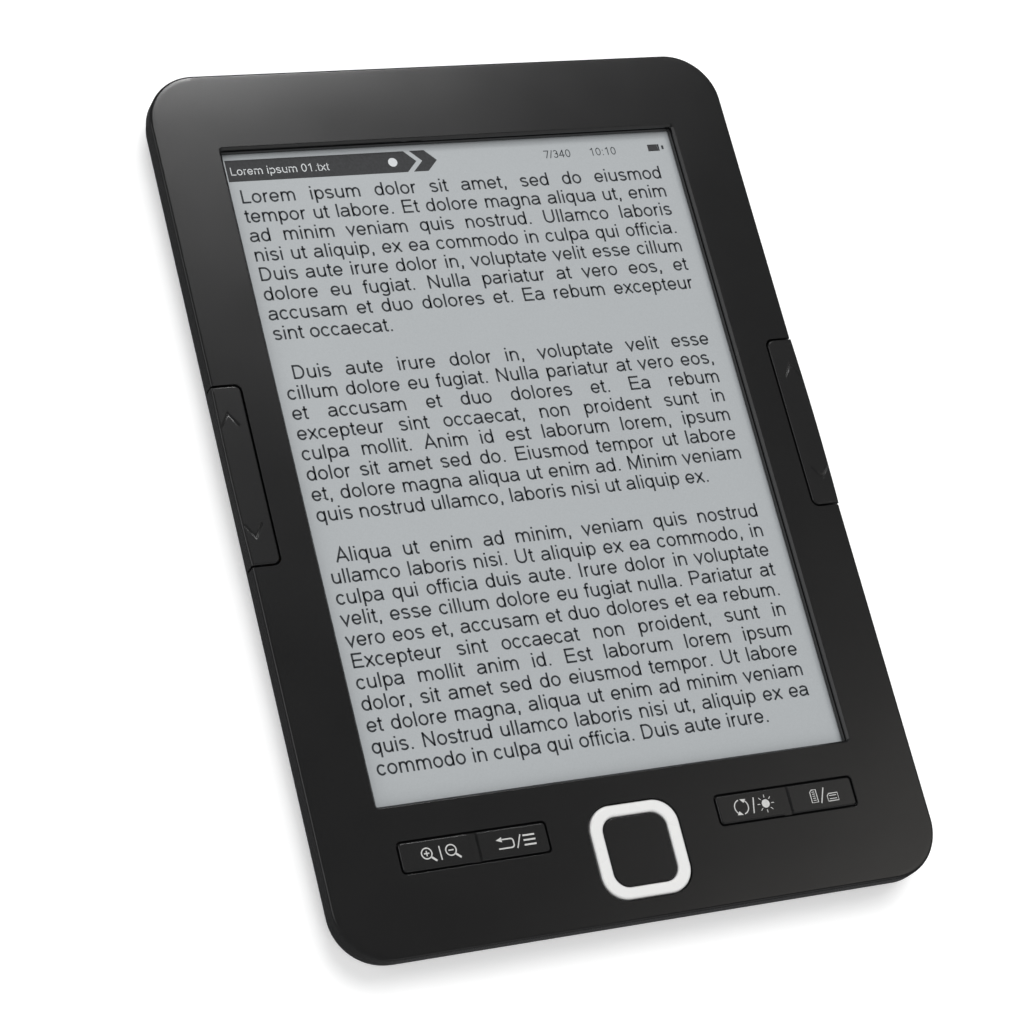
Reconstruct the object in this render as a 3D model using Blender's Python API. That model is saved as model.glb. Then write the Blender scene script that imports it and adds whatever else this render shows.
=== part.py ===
"""An e-reader lying on its back, as separate solids in metres.

X runs to the right across the page, Y up the page and Z out of the screen. The origin is the centre
of the outline on the flat of the rear cover. Heights are measured up from that flat.
"""

import math

import bmesh
import bpy

MM = 0.001
GAP = 0.3 * MM

# ---- Case ----
CASE_WIDTH = 117.0 * MM
CASE_HEIGHT = 169.0 * MM
CASE_DEPTH = 9.6 * MM
CORNER_RADIUS = 10.0 * MM
EDGE_RADIUS = 0.5 * MM
CROWN_DROP = 0.04 * MM
CROWN_WIDTH = 4.0 * MM
PARTING_CHAMFER = 0.15 * MM
WALL = 1.4 * MM
FRONT_PLATE = 1.6 * MM
PARTING_LINE = 6.4 * MM
REAR_STEP = 0.25 * MM
REAR_CURVE = 7.0 * MM
REAR_FLOOR = 1.2 * MM
LIP_CLEARANCE = 0.4 * MM
LIP_THICKNESS = 0.8 * MM
LIP_HEIGHT = 1.2 * MM
CAVITY_SHOULDER = 5.2 * MM
CORNER_STEPS = 10
CURVE_STEPS = 8
CROWN_STEPS = 3

PLATE_UNDERSIDE = CASE_DEPTH - FRONT_PLATE
REAR_TOP = PARTING_LINE - GAP
LIP_OUTSIDE = WALL + LIP_CLEARANCE
LIP_INSIDE = LIP_OUTSIDE + LIP_THICKNESS
OVERSHOOT = 1.0 * MM
MERGE = 0.2 * MM
MOUTH_CHAMFER = 0.12 * MM
CREASE_ANGLE = 30

# ---- Screen window and display stack, from the front backwards ----
WINDOW_CENTRE_Y = 5.6 * MM
WINDOW_WIDTH = 93.3 * MM
WINDOW_HEIGHT = 127.6 * MM
WINDOW_CHAMFER = 0.4 * MM
WINDOW_DRAFT = 0.13 * MM
WINDOW_CORNER = 0.7 * MM
WINDOW_RIM = 1.3 * MM
RIM_CLEARANCE = 0.25 * MM
SCREEN_RECESS = 2.3 * MM
FILM_GAP = 0.15 * MM
COVER_FILM = 0.3 * MM
LIGHT_GUIDE = 0.4 * MM
INK_FILM = 0.2 * MM
BACKPLANE = 0.45 * MM
GLASS_WIDTH = 101.8 * MM
GLASS_BOTTOM = -59.8 * MM
GLASS_TOP = 77.8 * MM
FILM_WIDTH = 100.6 * MM
FILM_TOP = 71.6 * MM
GASKET_WIDTH = 2.2 * MM
GASKET_THICKNESS = 0.2 * MM
FLEX_THICKNESS = 0.15 * MM
DISPLAY_FLEX_X = (22.0 * MM, 42.0 * MM)
DISPLAY_FLEX_SLOT = 2.2 * MM
DISPLAY_CONNECTOR_Y = 58.0 * MM
CONNECTOR_HEIGHT = 1.0 * MM
CONNECTOR_HALF = 1.5 * MM
CONNECTOR_MARGIN = 1.0 * MM

SCREEN_TOP = CASE_DEPTH - SCREEN_RECESS
GUIDE_TOP = SCREEN_TOP - COVER_FILM - FILM_GAP
INK_TOP = GUIDE_TOP - LIGHT_GUIDE - FILM_GAP
GLASS_FACE = INK_TOP - INK_FILM - FILM_GAP

# ---- Mid frame ----
FRAME_PLATE_LOW = 4.7 * MM
FRAME_PLATE_TOP = 5.2 * MM
FRAME_MARGIN = 3.0 * MM
FRAME_RIM_THICKNESS = 0.7 * MM
FRAME_RIM_TOP = 6.5 * MM
FRAME_POCKET_BOTTOM = -62.2 * MM
FRAME_POCKET_TOP = 78.3 * MM
STEM_CLEARANCE = 0.6 * MM

# ---- Page keys, on the long sides ----
PAGE_KEY_CENTRE_Y = 5.03 * MM
PAGE_KEY_LENGTH = 34.0 * MM
PAGE_KEY_INSIDE = 53.23 * MM
PAGE_KEY_CORNER = 1.2 * MM
PAGE_KEY_PROUD = 0.1 * MM
PAGE_KEY_BULGE = 0.25 * MM
PAGE_KEY_BULGE_STEPS = 8
PAGE_KEY_BOTTOM = 6.5 * MM
PAGE_KEY_SKIN = 1.5 * MM
PAGE_KEY_INNER_WALL = 0.95 * MM
PAGE_KEY_INNER_BOTTOM = 7.7 * MM
PAGE_KEY_END_WALL = 1.2 * MM
PAGE_KEY_CHAMFER = 0.15 * MM
PAGE_KEY_GAP = 0.35 * MM
PAGE_SWITCH_OFFSET_Y = 12.0 * MM
PAGE_SWITCH_X = 54.1 * MM
PAGE_BOARD_WIDTH = 2.9 * MM
PAGE_BOARD_LENGTH = 28.0 * MM
PAGE_BOARD_LOW = FRAME_PLATE_TOP + GAP
PAGE_BOARD_TOP = PAGE_BOARD_LOW + 0.4 * MM
PAGE_PIVOT_Z = PAGE_BOARD_TOP + GAP
PAGE_SWITCH_SIZE = (2.2 * MM, 2.6 * MM)
PAGE_SWITCH_BODY = 0.65 * MM
PAGE_SWITCH_TOP = PAGE_BOARD_TOP + 1.25 * MM
PAGE_STEM_RADIUS = 0.8 * MM
PAGE_FLEX_X = 54.0 * MM
PAGE_FLEX_WIDTH = 1.2 * MM
PAGE_FLEX_SLOT = -14.5 * MM
PAGE_FLEX_END = -44.0 * MM
CHEVRON_X = 56.6 * MM
CHEVRON_APEX = 11.8 * MM
CHEVRON_RISE = 2.5 * MM
CHEVRON_HALF_WIDTH = 1.7 * MM
CHEVRON_STROKE = 0.45 * MM
CHEVRON_DEPTH = 0.15 * MM

# ---- Function keys, either side of the ring ----
FUNCTION_KEY_X = 30.5 * MM
FUNCTION_KEY_Y = -67.3 * MM
FUNCTION_KEY_LENGTH = 27.5 * MM
FUNCTION_KEY_WIDTH = 5.2 * MM
FUNCTION_KEY_CORNER = 0.6 * MM
FUNCTION_KEY_PROUD = 0.1 * MM
FUNCTION_KEY_CHAMFER = 0.3 * MM
FUNCTION_KEY_GAP = 0.35 * MM
FUNCTION_SWITCH_OFFSET = 9.0 * MM
GROOVE_WIDTH = 1.9 * MM
GROOVE_DEPTH = 0.5 * MM
GROOVE_LEAN = 0.58

# ---- Navigation ring and OK button ----
NAV_Y = -72.02 * MM
RING_WIDTH = 17.2 * MM
RING_HEIGHT = 17.1 * MM
RING_CORNER = 4.6 * MM
RING_HOLE_WIDTH = 12.5 * MM
RING_HOLE_HEIGHT = 12.8 * MM
RING_HOLE_CORNER = 2.8 * MM
RING_HOLE_CHAMFER = 0.25 * MM
RING_PROUD = 0.25 * MM
RING_ROUNDING = 0.4 * MM
RING_GAP = 0.3 * MM
PAD_WIDTH = 17.2 * MM
PAD_CORNER = 5.0 * MM
PAD_HOLE = 8.0 * MM
PAD_HOLE_CORNER = 2.0 * MM
PAD_LOW = 5.9 * MM
PAD_TOP = 6.5 * MM
NUB_RADIUS = 1.1 * MM
NAV_SWITCH_OFFSET = 6.4 * MM
OK_ROUNDING = 0.3 * MM
OK_BOTTOM = 7.0 * MM
OK_SKIN = 1.4 * MM
OK_WALL = 1.0 * MM

# ---- Shared by the key caps ----
FLANGE_LOW = 6.9 * MM
FLANGE_TOP = 7.4 * MM
FLANGE_REACH = 0.9 * MM
CAP_SKIN = 1.5 * MM
CAP_WALL = 0.9 * MM
STEM_RADIUS = 1.0 * MM
STEM_FOOT = FRAME_PLATE_TOP + 0.1 * MM
RIB_HALF = 0.5 * MM

# ---- Main board and what is on it ----
BOARD_LOW = 2.0 * MM
BOARD_TOP = 2.8 * MM
BOARD_HALF_WIDTH = 51.5 * MM
BOARD_BOTTOM = -79.4 * MM
BOARD_SHOULDER = -46.0 * MM
BOARD_COLUMN_LEFT = 16.0 * MM
BOARD_COLUMN_TOP = 62.0 * MM
BOARD_CORNER_CUT = 3.0 * MM
MOUNTED = BOARD_TOP + GAP
SWITCH_SIDE = 3.0 * MM
SWITCH_BODY = 1.3 * MM
SWITCH_CORNER = 0.2 * MM
SWITCH_BUTTON_SHARE = 0.32
SWITCH_BUTTON_ROUNDNESS = 0.98
SWITCH_TOP = STEM_FOOT - GAP

# ---- Battery ----
BATTERY_LEFT = -50.0 * MM
BATTERY_RIGHT = 12.0 * MM
BATTERY_BOTTOM = -40.0 * MM
BATTERY_TOP_EDGE = 48.0 * MM
BATTERY_LOW = 1.9 * MM
BATTERY_HIGH = 4.4 * MM
BATTERY_ROUNDING = 0.6 * MM
LEAD_RADIUS = 0.45 * MM
LEAD_START_Y = -44.0 * MM
LEAD_END = (-5.5 * MM, -48.0 * MM)
LEAD_Z = 3.6 * MM
LEAD_END_GAP = 0.4 * MM
LEAD_PITCH = 2.0 * MM

# ---- Lower edge: socket, card slot, power button ----
USB_X = 5.7 * MM
USB_WIDTH = 7.5 * MM
USB_TAPER = 0.9 * MM
USB_HEIGHT = 2.5 * MM
USB_WALL = 0.3 * MM
USB_WAIST = 0.45
USB_MOUTH = -83.1 * MM
USB_BACK = -78.3 * MM
CARD_X = -16.0 * MM
CARD_WIDTH = 12.2 * MM
CARD_HEIGHT = 1.3 * MM
CARD_WALL = 0.25 * MM
CARD_MOUTH = -82.6 * MM
CARD_BACK = -71.0 * MM
POWER_X = -28.0 * MM
POWER_Z = 3.75 * MM
POWER_WIDTH = 6.0 * MM
POWER_HEIGHT = 1.3 * MM
POWER_FACE = -83.7 * MM
POWER_TAIL = -79.8 * MM
PORT_CLEARANCE = 0.45 * MM

# ---- Screws ----
SHAFT_RADIUS = 0.6 * MM
HEAD_RADIUS = 1.2 * MM
HEAD_HEIGHT = 0.8 * MM
SOCKET_RADIUS = 0.55 * MM
SOCKET_DEPTH = 0.45 * MM
BOSS_RADIUS = 1.5 * MM
SCREW_SIDES = 12
PILOT_RADIUS = SHAFT_RADIUS + GAP
CLEARANCE_RADIUS = SHAFT_RADIUS + 0.4 * MM
FRAME_SCREW_TOP = 7.2 * MM
FRAME_SCREWS = {
    "upper_left": (-53.75 * MM, 75.5 * MM),
    "upper_right": (53.75 * MM, 75.5 * MM),
    "middle_left": (-53.75 * MM, -56.0 * MM),
    "middle_right": (53.75 * MM, -56.0 * MM),
    "lower_left": (-53.75 * MM, -75.5 * MM),
    "lower_right": (53.75 * MM, -75.5 * MM),
}
BOARD_SCREWS = {
    "left": (-47.5 * MM, -74.5 * MM),
    "right": (47.5 * MM, -74.5 * MM),
}

# Colour, roughness and metallic value of each finish.
FINISHES = {
    "case_black": ((0.022, 0.022, 0.022), 0.5, 0.0),
    "key_black": ((0.020, 0.020, 0.020), 0.42, 0.0),
    "ring_white": ((0.80, 0.80, 0.79), 0.35, 0.0),
    "page_grey": ((0.46, 0.50, 0.52), 0.6, 0.0),
    "clear_sheet": ((0.75, 0.80, 0.82), 0.15, 0.0),
    "glass": ((0.30, 0.36, 0.36), 0.08, 0.0),
    "foam": ((0.015, 0.015, 0.015), 0.95, 0.0),
    "frame_metal": ((0.45, 0.46, 0.47), 0.4, 0.9),
    "board_green": ((0.02, 0.13, 0.06), 0.45, 0.0),
    "chip_black": ((0.03, 0.03, 0.032), 0.55, 0.0),
    "connector": ((0.72, 0.68, 0.56), 0.5, 0.0),
    "flex_orange": ((0.42, 0.17, 0.03), 0.35, 0.0),
    "steel": ((0.55, 0.55, 0.56), 0.3, 1.0),
    "silicone": ((0.35, 0.36, 0.37), 0.7, 0.0),
    "battery_foil": ((0.50, 0.51, 0.52), 0.35, 0.6),
    "lead_red": ((0.45, 0.02, 0.02), 0.5, 0.0),
    "lead_black": ((0.02, 0.02, 0.02), 0.5, 0.0),
}

AXIS_SHIFT = {"X": 1, "Y": 2, "Z": 0}


# ---- Outlines: points anticlockwise in the plane of a section ----


def rectangle(low, high):
    return [(low[0], low[1]), (high[0], low[1]), (high[0], high[1]), (low[0], high[1])]


def circle(centre, radius, sides=20):
    angles = [2 * math.pi * side / sides for side in range(sides)]
    return [(centre[0] + radius * math.cos(a), centre[1] + radius * math.sin(a)) for a in angles]


def rounded(width, height, radius, centre=(0.0, 0.0), steps=4):
    points = []
    for corner, (right, up) in enumerate(((1, 1), (-1, 1), (-1, -1), (1, -1))):
        for step in range(steps + 1):
            angle = (corner + step / steps) * math.pi / 2
            points.append(
                (
                    centre[0] + right * (width / 2 - radius) + radius * math.cos(angle),
                    centre[1] + up * (height / 2 - radius) + radius * math.sin(angle),
                )
            )
    return points


def case_outline(inset):
    """The outline of the case, drawn in by inset all round."""
    return rounded(
        CASE_WIDTH - 2 * inset,
        CASE_HEIGHT - 2 * inset,
        CORNER_RADIUS - inset,
        steps=CORNER_STEPS,
    )


def window_outline(inset):
    return rounded(
        WINDOW_WIDTH - 2 * inset,
        WINDOW_HEIGHT - 2 * inset,
        WINDOW_CORNER - min(inset, WINDOW_CHAMFER),
        centre=(0.0, WINDOW_CENTRE_Y),
    )


def mirrored(points):
    """The outline seen in a mirror across X = 0, still anticlockwise."""
    return [(-x, y) for x, y in reversed(points)]


def ribbon(path, thickness):
    """The outline of a strip of the given thickness that follows an open path."""
    left, right = [], []
    for index, (u, v) in enumerate(path):
        before = path[max(index - 1, 0)]
        after = path[min(index + 1, len(path) - 1)]
        du, dv = after[0] - before[0], after[1] - before[1]
        length = math.hypot(du, dv)
        nu, nv = -dv / length * thickness / 2, du / length * thickness / 2
        left.append((u + nu, v + nv))
        right.append((u - nu, v - nv))
    return right + left[::-1]


# ---- Solids ----


class Solid:
    """Closed shells gathered in one mesh, which becomes one object."""

    def __init__(self):
        self.mesh = bmesh.new()

    def loft(self, sections, axis="Z"):
        """A closed shell through (height, outline) sections. Heights run along the axis."""
        shift = AXIS_SHIFT[axis]
        rings = []
        for height, points in sections:
            ring = []
            for u, v in points:
                place = (u, v, height)
                ring.append(self.mesh.verts.new([place[(i - shift) % 3] for i in range(3)]))
            rings.append(ring)
        self.mesh.faces.new(rings[0][::-1])
        self.mesh.faces.new(rings[-1])
        count = len(rings[0])
        for low, high in zip(rings, rings[1:]):
            for i in range(count):
                j = (i + 1) % count
                self.mesh.faces.new((low[i], low[j], high[j], high[i]))
        return self

    def block(self, low, high):
        outline = rectangle(low, high)
        return self.loft([(low[2], outline), (high[2], outline)])

    def rod(self, centre, radius, low, high, sides=20):
        outline = circle(centre, radius, sides)
        return self.loft([(low, outline), (high, outline)])

    def object(self, name, finish=None, origin=(0.0, 0.0, 0.0)):
        """The object, with its origin at the given place and its faces in the same place."""
        bmesh.ops.translate(self.mesh, verts=self.mesh.verts, vec=[-value for value in origin])
        data = bpy.data.meshes.new(name)
        self.mesh.to_mesh(data)
        self.mesh.free()
        item = bpy.data.objects.new(name, data)
        item.location = origin
        bpy.context.scene.collection.objects.link(item)
        if finish:
            data.shade_smooth()
            data.set_sharp_from_angle(angle=math.radians(CREASE_ANGLE))
            data.materials.append(material(name, finish))
        return item


def material(name, finish):
    colour, roughness, metallic = FINISHES[finish]
    made = bpy.data.materials.new(name)
    made.use_nodes = True
    shader = made.node_tree.nodes["Principled BSDF"]
    shader.inputs["Base Color"].default_value = (*colour, 1.0)
    shader.inputs["Roughness"].default_value = roughness
    shader.inputs["Metallic"].default_value = metallic
    return made


def combine(target, operation, solid):
    """Adds a Boolean of the solid to the target. The solid stays as a hidden helper."""
    helper = solid.object(f"{target.name}_{operation.lower()}_{len(target.modifiers)}")
    helper.hide_render = True
    helper.display_type = "WIRE"
    modifier = target.modifiers.new(operation.title(), "BOOLEAN")
    modifier.operation = operation
    modifier.solver = "EXACT"
    modifier.object = helper
    return target


def cut(target, solid):
    return combine(target, "DIFFERENCE", solid)


def add(target, solid):
    return combine(target, "UNION", solid)


def edge_rounding(top, radius, steps=4):
    """(height, inset) pairs that round an edge off up to the given top."""
    for step in range(steps + 1):
        angle = step / steps * math.pi / 2
        yield top - radius * (1 - math.sin(angle)), radius * (1 - math.cos(angle))


# ---- Case ----


def build_front_bezel():
    sections = [
        (PARTING_LINE, case_outline(PARTING_CHAMFER)),
        (PARTING_LINE + PARTING_CHAMFER, case_outline(0.0)),
    ]
    for height, inset in edge_rounding(CASE_DEPTH - CROWN_DROP, EDGE_RADIUS):
        sections.append((height, case_outline(inset)))
    for step in range(1, CROWN_STEPS + 1):
        t = step / CROWN_STEPS
        height = CASE_DEPTH - CROWN_DROP * (1 - t) ** 2
        sections.append((height, case_outline(EDGE_RADIUS + (CROWN_WIDTH - EDGE_RADIUS) * t)))
    bezel = Solid().loft(sections).object("front_bezel", "case_black")

    cavity = case_outline(WALL)
    cut(bezel, Solid().loft([(PARTING_LINE - OVERSHOOT, cavity), (PLATE_UNDERSIDE, cavity)]))

    additions = Solid()
    rim = window_outline(WINDOW_CHAMFER - WINDOW_RIM)
    additions.loft([(SCREEN_TOP + RIM_CLEARANCE, rim), (PLATE_UNDERSIDE + GAP, rim)])
    for place in FRAME_SCREWS.values():
        additions.rod(place, BOSS_RADIUS, FRAME_PLATE_TOP + GAP, PLATE_UNDERSIDE + GAP)
    add(bezel, additions)

    openings = Solid()
    openings.loft(
        [
            (SCREEN_TOP - OVERSHOOT, window_outline(WINDOW_CHAMFER + WINDOW_DRAFT)),
            (CASE_DEPTH - WINDOW_CHAMFER, window_outline(WINDOW_CHAMFER)),
            (CASE_DEPTH + OVERSHOOT, window_outline(-OVERSHOOT)),
        ]
    )
    for side in (-1, 1):
        slot = [
            rounded(
                FUNCTION_KEY_LENGTH + 2 * (FUNCTION_KEY_GAP + extra),
                FUNCTION_KEY_WIDTH + 2 * (FUNCTION_KEY_GAP + extra),
                FUNCTION_KEY_CORNER + FUNCTION_KEY_GAP + extra,
                centre=(side * FUNCTION_KEY_X, FUNCTION_KEY_Y),
            )
            for extra in (0.0, MOUTH_CHAMFER + OVERSHOOT)
        ]
        openings.loft(
            [
                (PLATE_UNDERSIDE - OVERSHOOT / 2, slot[0]),
                (CASE_DEPTH - MOUTH_CHAMFER, slot[0]),
                (CASE_DEPTH + OVERSHOOT, slot[1]),
            ]
        )
        notch = page_key_plan(-PAGE_KEY_GAP, 2 * WALL, 0.0)
        notch = notch if side > 0 else mirrored(notch)
        openings.loft([(PARTING_LINE - OVERSHOOT, notch), (CASE_DEPTH + OVERSHOOT, notch)])
    ring = [
        rounded(
            RING_WIDTH + 2 * (RING_GAP + extra),
            RING_HEIGHT + 2 * (RING_GAP + extra),
            RING_CORNER + RING_GAP + extra,
            centre=(0.0, NAV_Y),
            steps=8,
        )
        for extra in (0.0, MOUTH_CHAMFER + OVERSHOOT)
    ]
    openings.loft(
        [
            (PLATE_UNDERSIDE - OVERSHOOT / 2, ring[0]),
            (CASE_DEPTH - MOUTH_CHAMFER, ring[0]),
            (CASE_DEPTH + OVERSHOOT, ring[1]),
        ]
    )
    for place in FRAME_SCREWS.values():
        openings.rod(place, PILOT_RADIUS, FRAME_PLATE_TOP - GAP, FRAME_SCREW_TOP + GAP)
    cut(bezel, openings)


def build_rear_cover():
    sections = []
    for step in range(CURVE_STEPS + 1):
        angle = (1 - step / CURVE_STEPS) * math.pi / 2
        inset = REAR_STEP + REAR_CURVE * (1 - math.cos(angle))
        sections.append((REAR_TOP * (1 - math.sin(angle)), case_outline(inset)))
    lip_top = REAR_TOP + LIP_HEIGHT
    sections += [(REAR_TOP, case_outline(LIP_OUTSIDE)), (lip_top, case_outline(LIP_OUTSIDE))]
    cover = Solid().loft(sections).object("rear_cover", "case_black")

    cavity = []
    floor_inset = REAR_STEP + REAR_CURVE
    for step in range(CURVE_STEPS + 1):
        angle = (1 - step / CURVE_STEPS) * math.pi / 2
        inset = LIP_INSIDE + (floor_inset - LIP_INSIDE) * (1 - math.cos(angle))
        height = REAR_FLOOR + (CAVITY_SHOULDER - REAR_FLOOR) * (1 - math.sin(angle))
        cavity.append((height, case_outline(inset)))
    cavity.append((lip_top + OVERSHOOT, case_outline(LIP_INSIDE)))
    cut(cover, Solid().loft(cavity))

    additions = Solid()
    sunk = REAR_FLOOR - MERGE
    for place in BOARD_SCREWS.values():
        additions.rod(place, BOSS_RADIUS, sunk, BOARD_LOW - GAP)
    rib = 0.8 * MM
    rib_gap = 0.4 * MM
    rib_top = 2.6 * MM
    inset_end = 4.0 * MM
    for x in (BATTERY_LEFT - rib_gap - rib, BATTERY_RIGHT + rib_gap):
        additions.block(
            (x, BATTERY_BOTTOM + inset_end, sunk),
            (x + rib, BATTERY_TOP_EDGE - inset_end, rib_top),
        )
    additions.block(
        (BATTERY_LEFT + inset_end, BATTERY_TOP_EDGE + rib_gap, sunk),
        (BATTERY_RIGHT - inset_end, BATTERY_TOP_EDGE + rib_gap + rib, rib_top),
    )
    add(cover, additions)

    openings = Solid()
    for place in BOARD_SCREWS.values():
        openings.rod(place, PILOT_RADIUS, REAR_FLOOR / 2, BOARD_LOW)
    outside = -CASE_HEIGHT / 2 - OVERSHOOT
    inside = BOARD_BOTTOM - LIP_CLEARANCE
    half_usb = USB_WIDTH / 2 + PORT_CLEARANCE
    openings.block(
        (USB_X - half_usb, outside, MOUNTED - PORT_CLEARANCE),
        (USB_X + half_usb, inside, lip_top + OVERSHOOT),
    )
    half_card = CARD_WIDTH / 2 + PORT_CLEARANCE
    openings.block(
        (CARD_X - half_card, outside, MOUNTED - PORT_CLEARANCE),
        (CARD_X + half_card, inside, MOUNTED + CARD_HEIGHT + PORT_CLEARANCE),
    )
    half_power = POWER_WIDTH / 2 + GAP
    openings.block(
        (POWER_X - half_power, outside, POWER_Z - POWER_HEIGHT / 2 - GAP),
        (POWER_X + half_power, inside, POWER_Z + POWER_HEIGHT / 2 + GAP),
    )
    key_half = PAGE_KEY_LENGTH / 2 + OVERSHOOT
    for side in (-1, 1):
        near = CASE_WIDTH / 2 - LIP_INSIDE - OVERSHOOT
        far = CASE_WIDTH / 2 - LIP_OUTSIDE + GAP
        left, right = sorted((side * near, side * far))
        openings.block(
            (left, PAGE_KEY_CENTRE_Y - key_half, REAR_TOP - PARTING_CHAMFER),
            (right, PAGE_KEY_CENTRE_Y + key_half, lip_top + OVERSHOOT),
        )
    cut(cover, openings)


def build_mid_frame():
    plate = case_outline(FRAME_MARGIN)
    frame = Solid().loft([(FRAME_PLATE_LOW, plate), (FRAME_PLATE_TOP, plate)])
    frame = frame.object("mid_frame", "frame_metal")

    pocket_half = GLASS_WIDTH / 2 + GAP
    rim = FRAME_RIM_THICKNESS
    add(
        frame,
        Solid().block(
            (-pocket_half - rim, FRAME_POCKET_BOTTOM - rim, FRAME_PLATE_TOP - MERGE),
            (pocket_half + rim, FRAME_POCKET_TOP + rim, FRAME_RIM_TOP),
        ),
    )
    cut(
        frame,
        Solid().block(
            (-pocket_half, FRAME_POCKET_BOTTOM, FRAME_PLATE_TOP),
            (pocket_half, FRAME_POCKET_TOP, FRAME_RIM_TOP + OVERSHOOT),
        ),
    )
    openings = Solid()
    low, high = FRAME_PLATE_LOW - OVERSHOOT, FRAME_PLATE_TOP + OVERSHOOT
    hole = STEM_RADIUS + STEM_CLEARANCE
    for place in function_switch_places().values():
        openings.rod(place, hole, low, high)
    for place in nav_switch_places().values():
        openings.rod(place, hole, low, high)
    for place in FRAME_SCREWS.values():
        openings.rod(place, CLEARANCE_RADIUS, low, high)
    half_usb = USB_WIDTH / 2 + GAP
    openings.block(
        (USB_X - half_usb, -CASE_HEIGHT / 2, low), (USB_X + half_usb, USB_BACK + GAP, high)
    )
    flex_left, flex_right = DISPLAY_FLEX_X
    openings.block(
        (flex_left - GAP, FRAME_POCKET_TOP - GAP, low),
        (flex_right + GAP, FRAME_POCKET_TOP + DISPLAY_FLEX_SLOT, FRAME_RIM_TOP + OVERSHOOT),
    )
    for side in (-1, 1):
        centre = side * PAGE_FLEX_X
        half = PAGE_FLEX_WIDTH / 2 + GAP
        openings.block(
            (centre - half, PAGE_FLEX_SLOT - 2 * GAP, low),
            (centre + half, PAGE_FLEX_SLOT + 2 * GAP, high),
        )
    cut(frame, openings)


# ---- Display ----


def sheet(name, finish, width, bottom, top, face, thickness):
    """A flat sheet whose front face is at the height given by face."""
    corner = 1.0 * MM
    outline = rounded(width, top - bottom, corner, centre=(0.0, (top + bottom) / 2))
    return Solid().loft([(face - thickness, outline), (face, outline)]).object(name, finish)


def build_display():
    sheet("display_backplane", "glass", GLASS_WIDTH, GLASS_BOTTOM, GLASS_TOP, GLASS_FACE, BACKPLANE)
    sheet("ink_film", "page_grey", FILM_WIDTH, GLASS_BOTTOM, FILM_TOP, INK_TOP, INK_FILM)
    sheet(
        "front_light_guide", "clear_sheet", FILM_WIDTH, GLASS_BOTTOM, FILM_TOP, GUIDE_TOP, LIGHT_GUIDE
    )
    sheet(
        "display_cover_film", "page_grey", FILM_WIDTH, GLASS_BOTTOM, FILM_TOP, SCREEN_TOP, COVER_FILM
    )

    inner = window_outline(WINDOW_CHAMFER - WINDOW_RIM - GAP)
    outer = window_outline(WINDOW_CHAMFER - WINDOW_RIM - GAP - GASKET_WIDTH)
    low = SCREEN_TOP + RIM_CLEARANCE
    high = low + GASKET_THICKNESS
    gasket = Solid().loft([(low, outer), (high, outer)]).object("window_gasket", "foam")
    cut(gasket, Solid().loft([(low - OVERSHOOT, inner), (high + OVERSHOOT, inner)]))

    strip_half = 45.0 * MM
    strip_low, strip_high = -61.7 * MM, GLASS_BOTTOM - GAP
    guide_low = GUIDE_TOP - LIGHT_GUIDE
    strip = Solid().block(
        (-strip_half, strip_low, guide_low), (strip_half, strip_high, guide_low + FLEX_THICKNESS)
    )
    strip = strip.object("front_light_strip", "flex_orange")
    lamps = Solid()
    lamp_count = 6
    lamp_half = 1.2 * MM
    for lamp in range(lamp_count):
        x = strip_half * (2 * lamp + 1 - lamp_count) / lamp_count
        lamps.block(
            (x - lamp_half, strip_low + GAP, guide_low + FLEX_THICKNESS / 2),
            (x + lamp_half, strip_high - FLEX_THICKNESS, GUIDE_TOP),
        )
    add(strip, lamps)

    chip_half, chip_margin = 8.0 * MM, 1.6 * MM
    chip_depth, chip_height = 2.0 * MM, 0.5 * MM
    chip_low = GLASS_FACE + FILM_GAP
    chip_y = FILM_TOP + chip_margin
    Solid().block(
        (-chip_half, chip_y, chip_low), (chip_half, chip_y + chip_depth, chip_low + chip_height)
    ).object("display_driver_chip", "chip_black")

    ledge = GLASS_FACE + FILM_GAP + FLEX_THICKNESS / 2
    turn_y = FRAME_POCKET_TOP + 1.2 * MM
    under = FRAME_PLATE_LOW - 0.4 * MM
    turn = 0.7 * MM
    plug = MOUNTED + CONNECTOR_HEIGHT / 2
    landing = 1.6 * MM
    fall_start, fall_end = DISPLAY_CONNECTOR_Y + 5.0 * MM, DISPLAY_CONNECTOR_Y + 2.5 * MM
    path = [(GLASS_TOP - landing, ledge), (turn_y - turn, ledge)]
    path += arc((turn_y - turn, ledge - turn), turn, 60, 0)
    path += arc((turn_y - turn, under + turn), turn, 0, -90)
    path += [(fall_start, under), (fall_end, plug)]
    path += [(DISPLAY_CONNECTOR_Y + CONNECTOR_HALF + GAP, plug)]
    flex = ribbon(path, FLEX_THICKNESS)
    Solid().loft([(DISPLAY_FLEX_X[0], flex), (DISPLAY_FLEX_X[1], flex)], axis="X").object(
        "display_flex", "flex_orange"
    )
    Solid().block(
        (DISPLAY_FLEX_X[0] - CONNECTOR_MARGIN, DISPLAY_CONNECTOR_Y - CONNECTOR_HALF, MOUNTED),
        (
            DISPLAY_FLEX_X[1] + CONNECTOR_MARGIN,
            DISPLAY_CONNECTOR_Y + CONNECTOR_HALF,
            MOUNTED + CONNECTOR_HEIGHT,
        ),
    ).object("display_connector", "connector")


def arc(centre, radius, start, end, steps=4):
    """Points along an arc from start to end, in degrees."""
    points = []
    for step in range(steps + 1):
        angle = math.radians(start + (end - start) * step / steps)
        points.append((centre[0] + radius * math.cos(angle), centre[1] + radius * math.sin(angle)))
    return points


# ---- Main board ----


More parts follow.
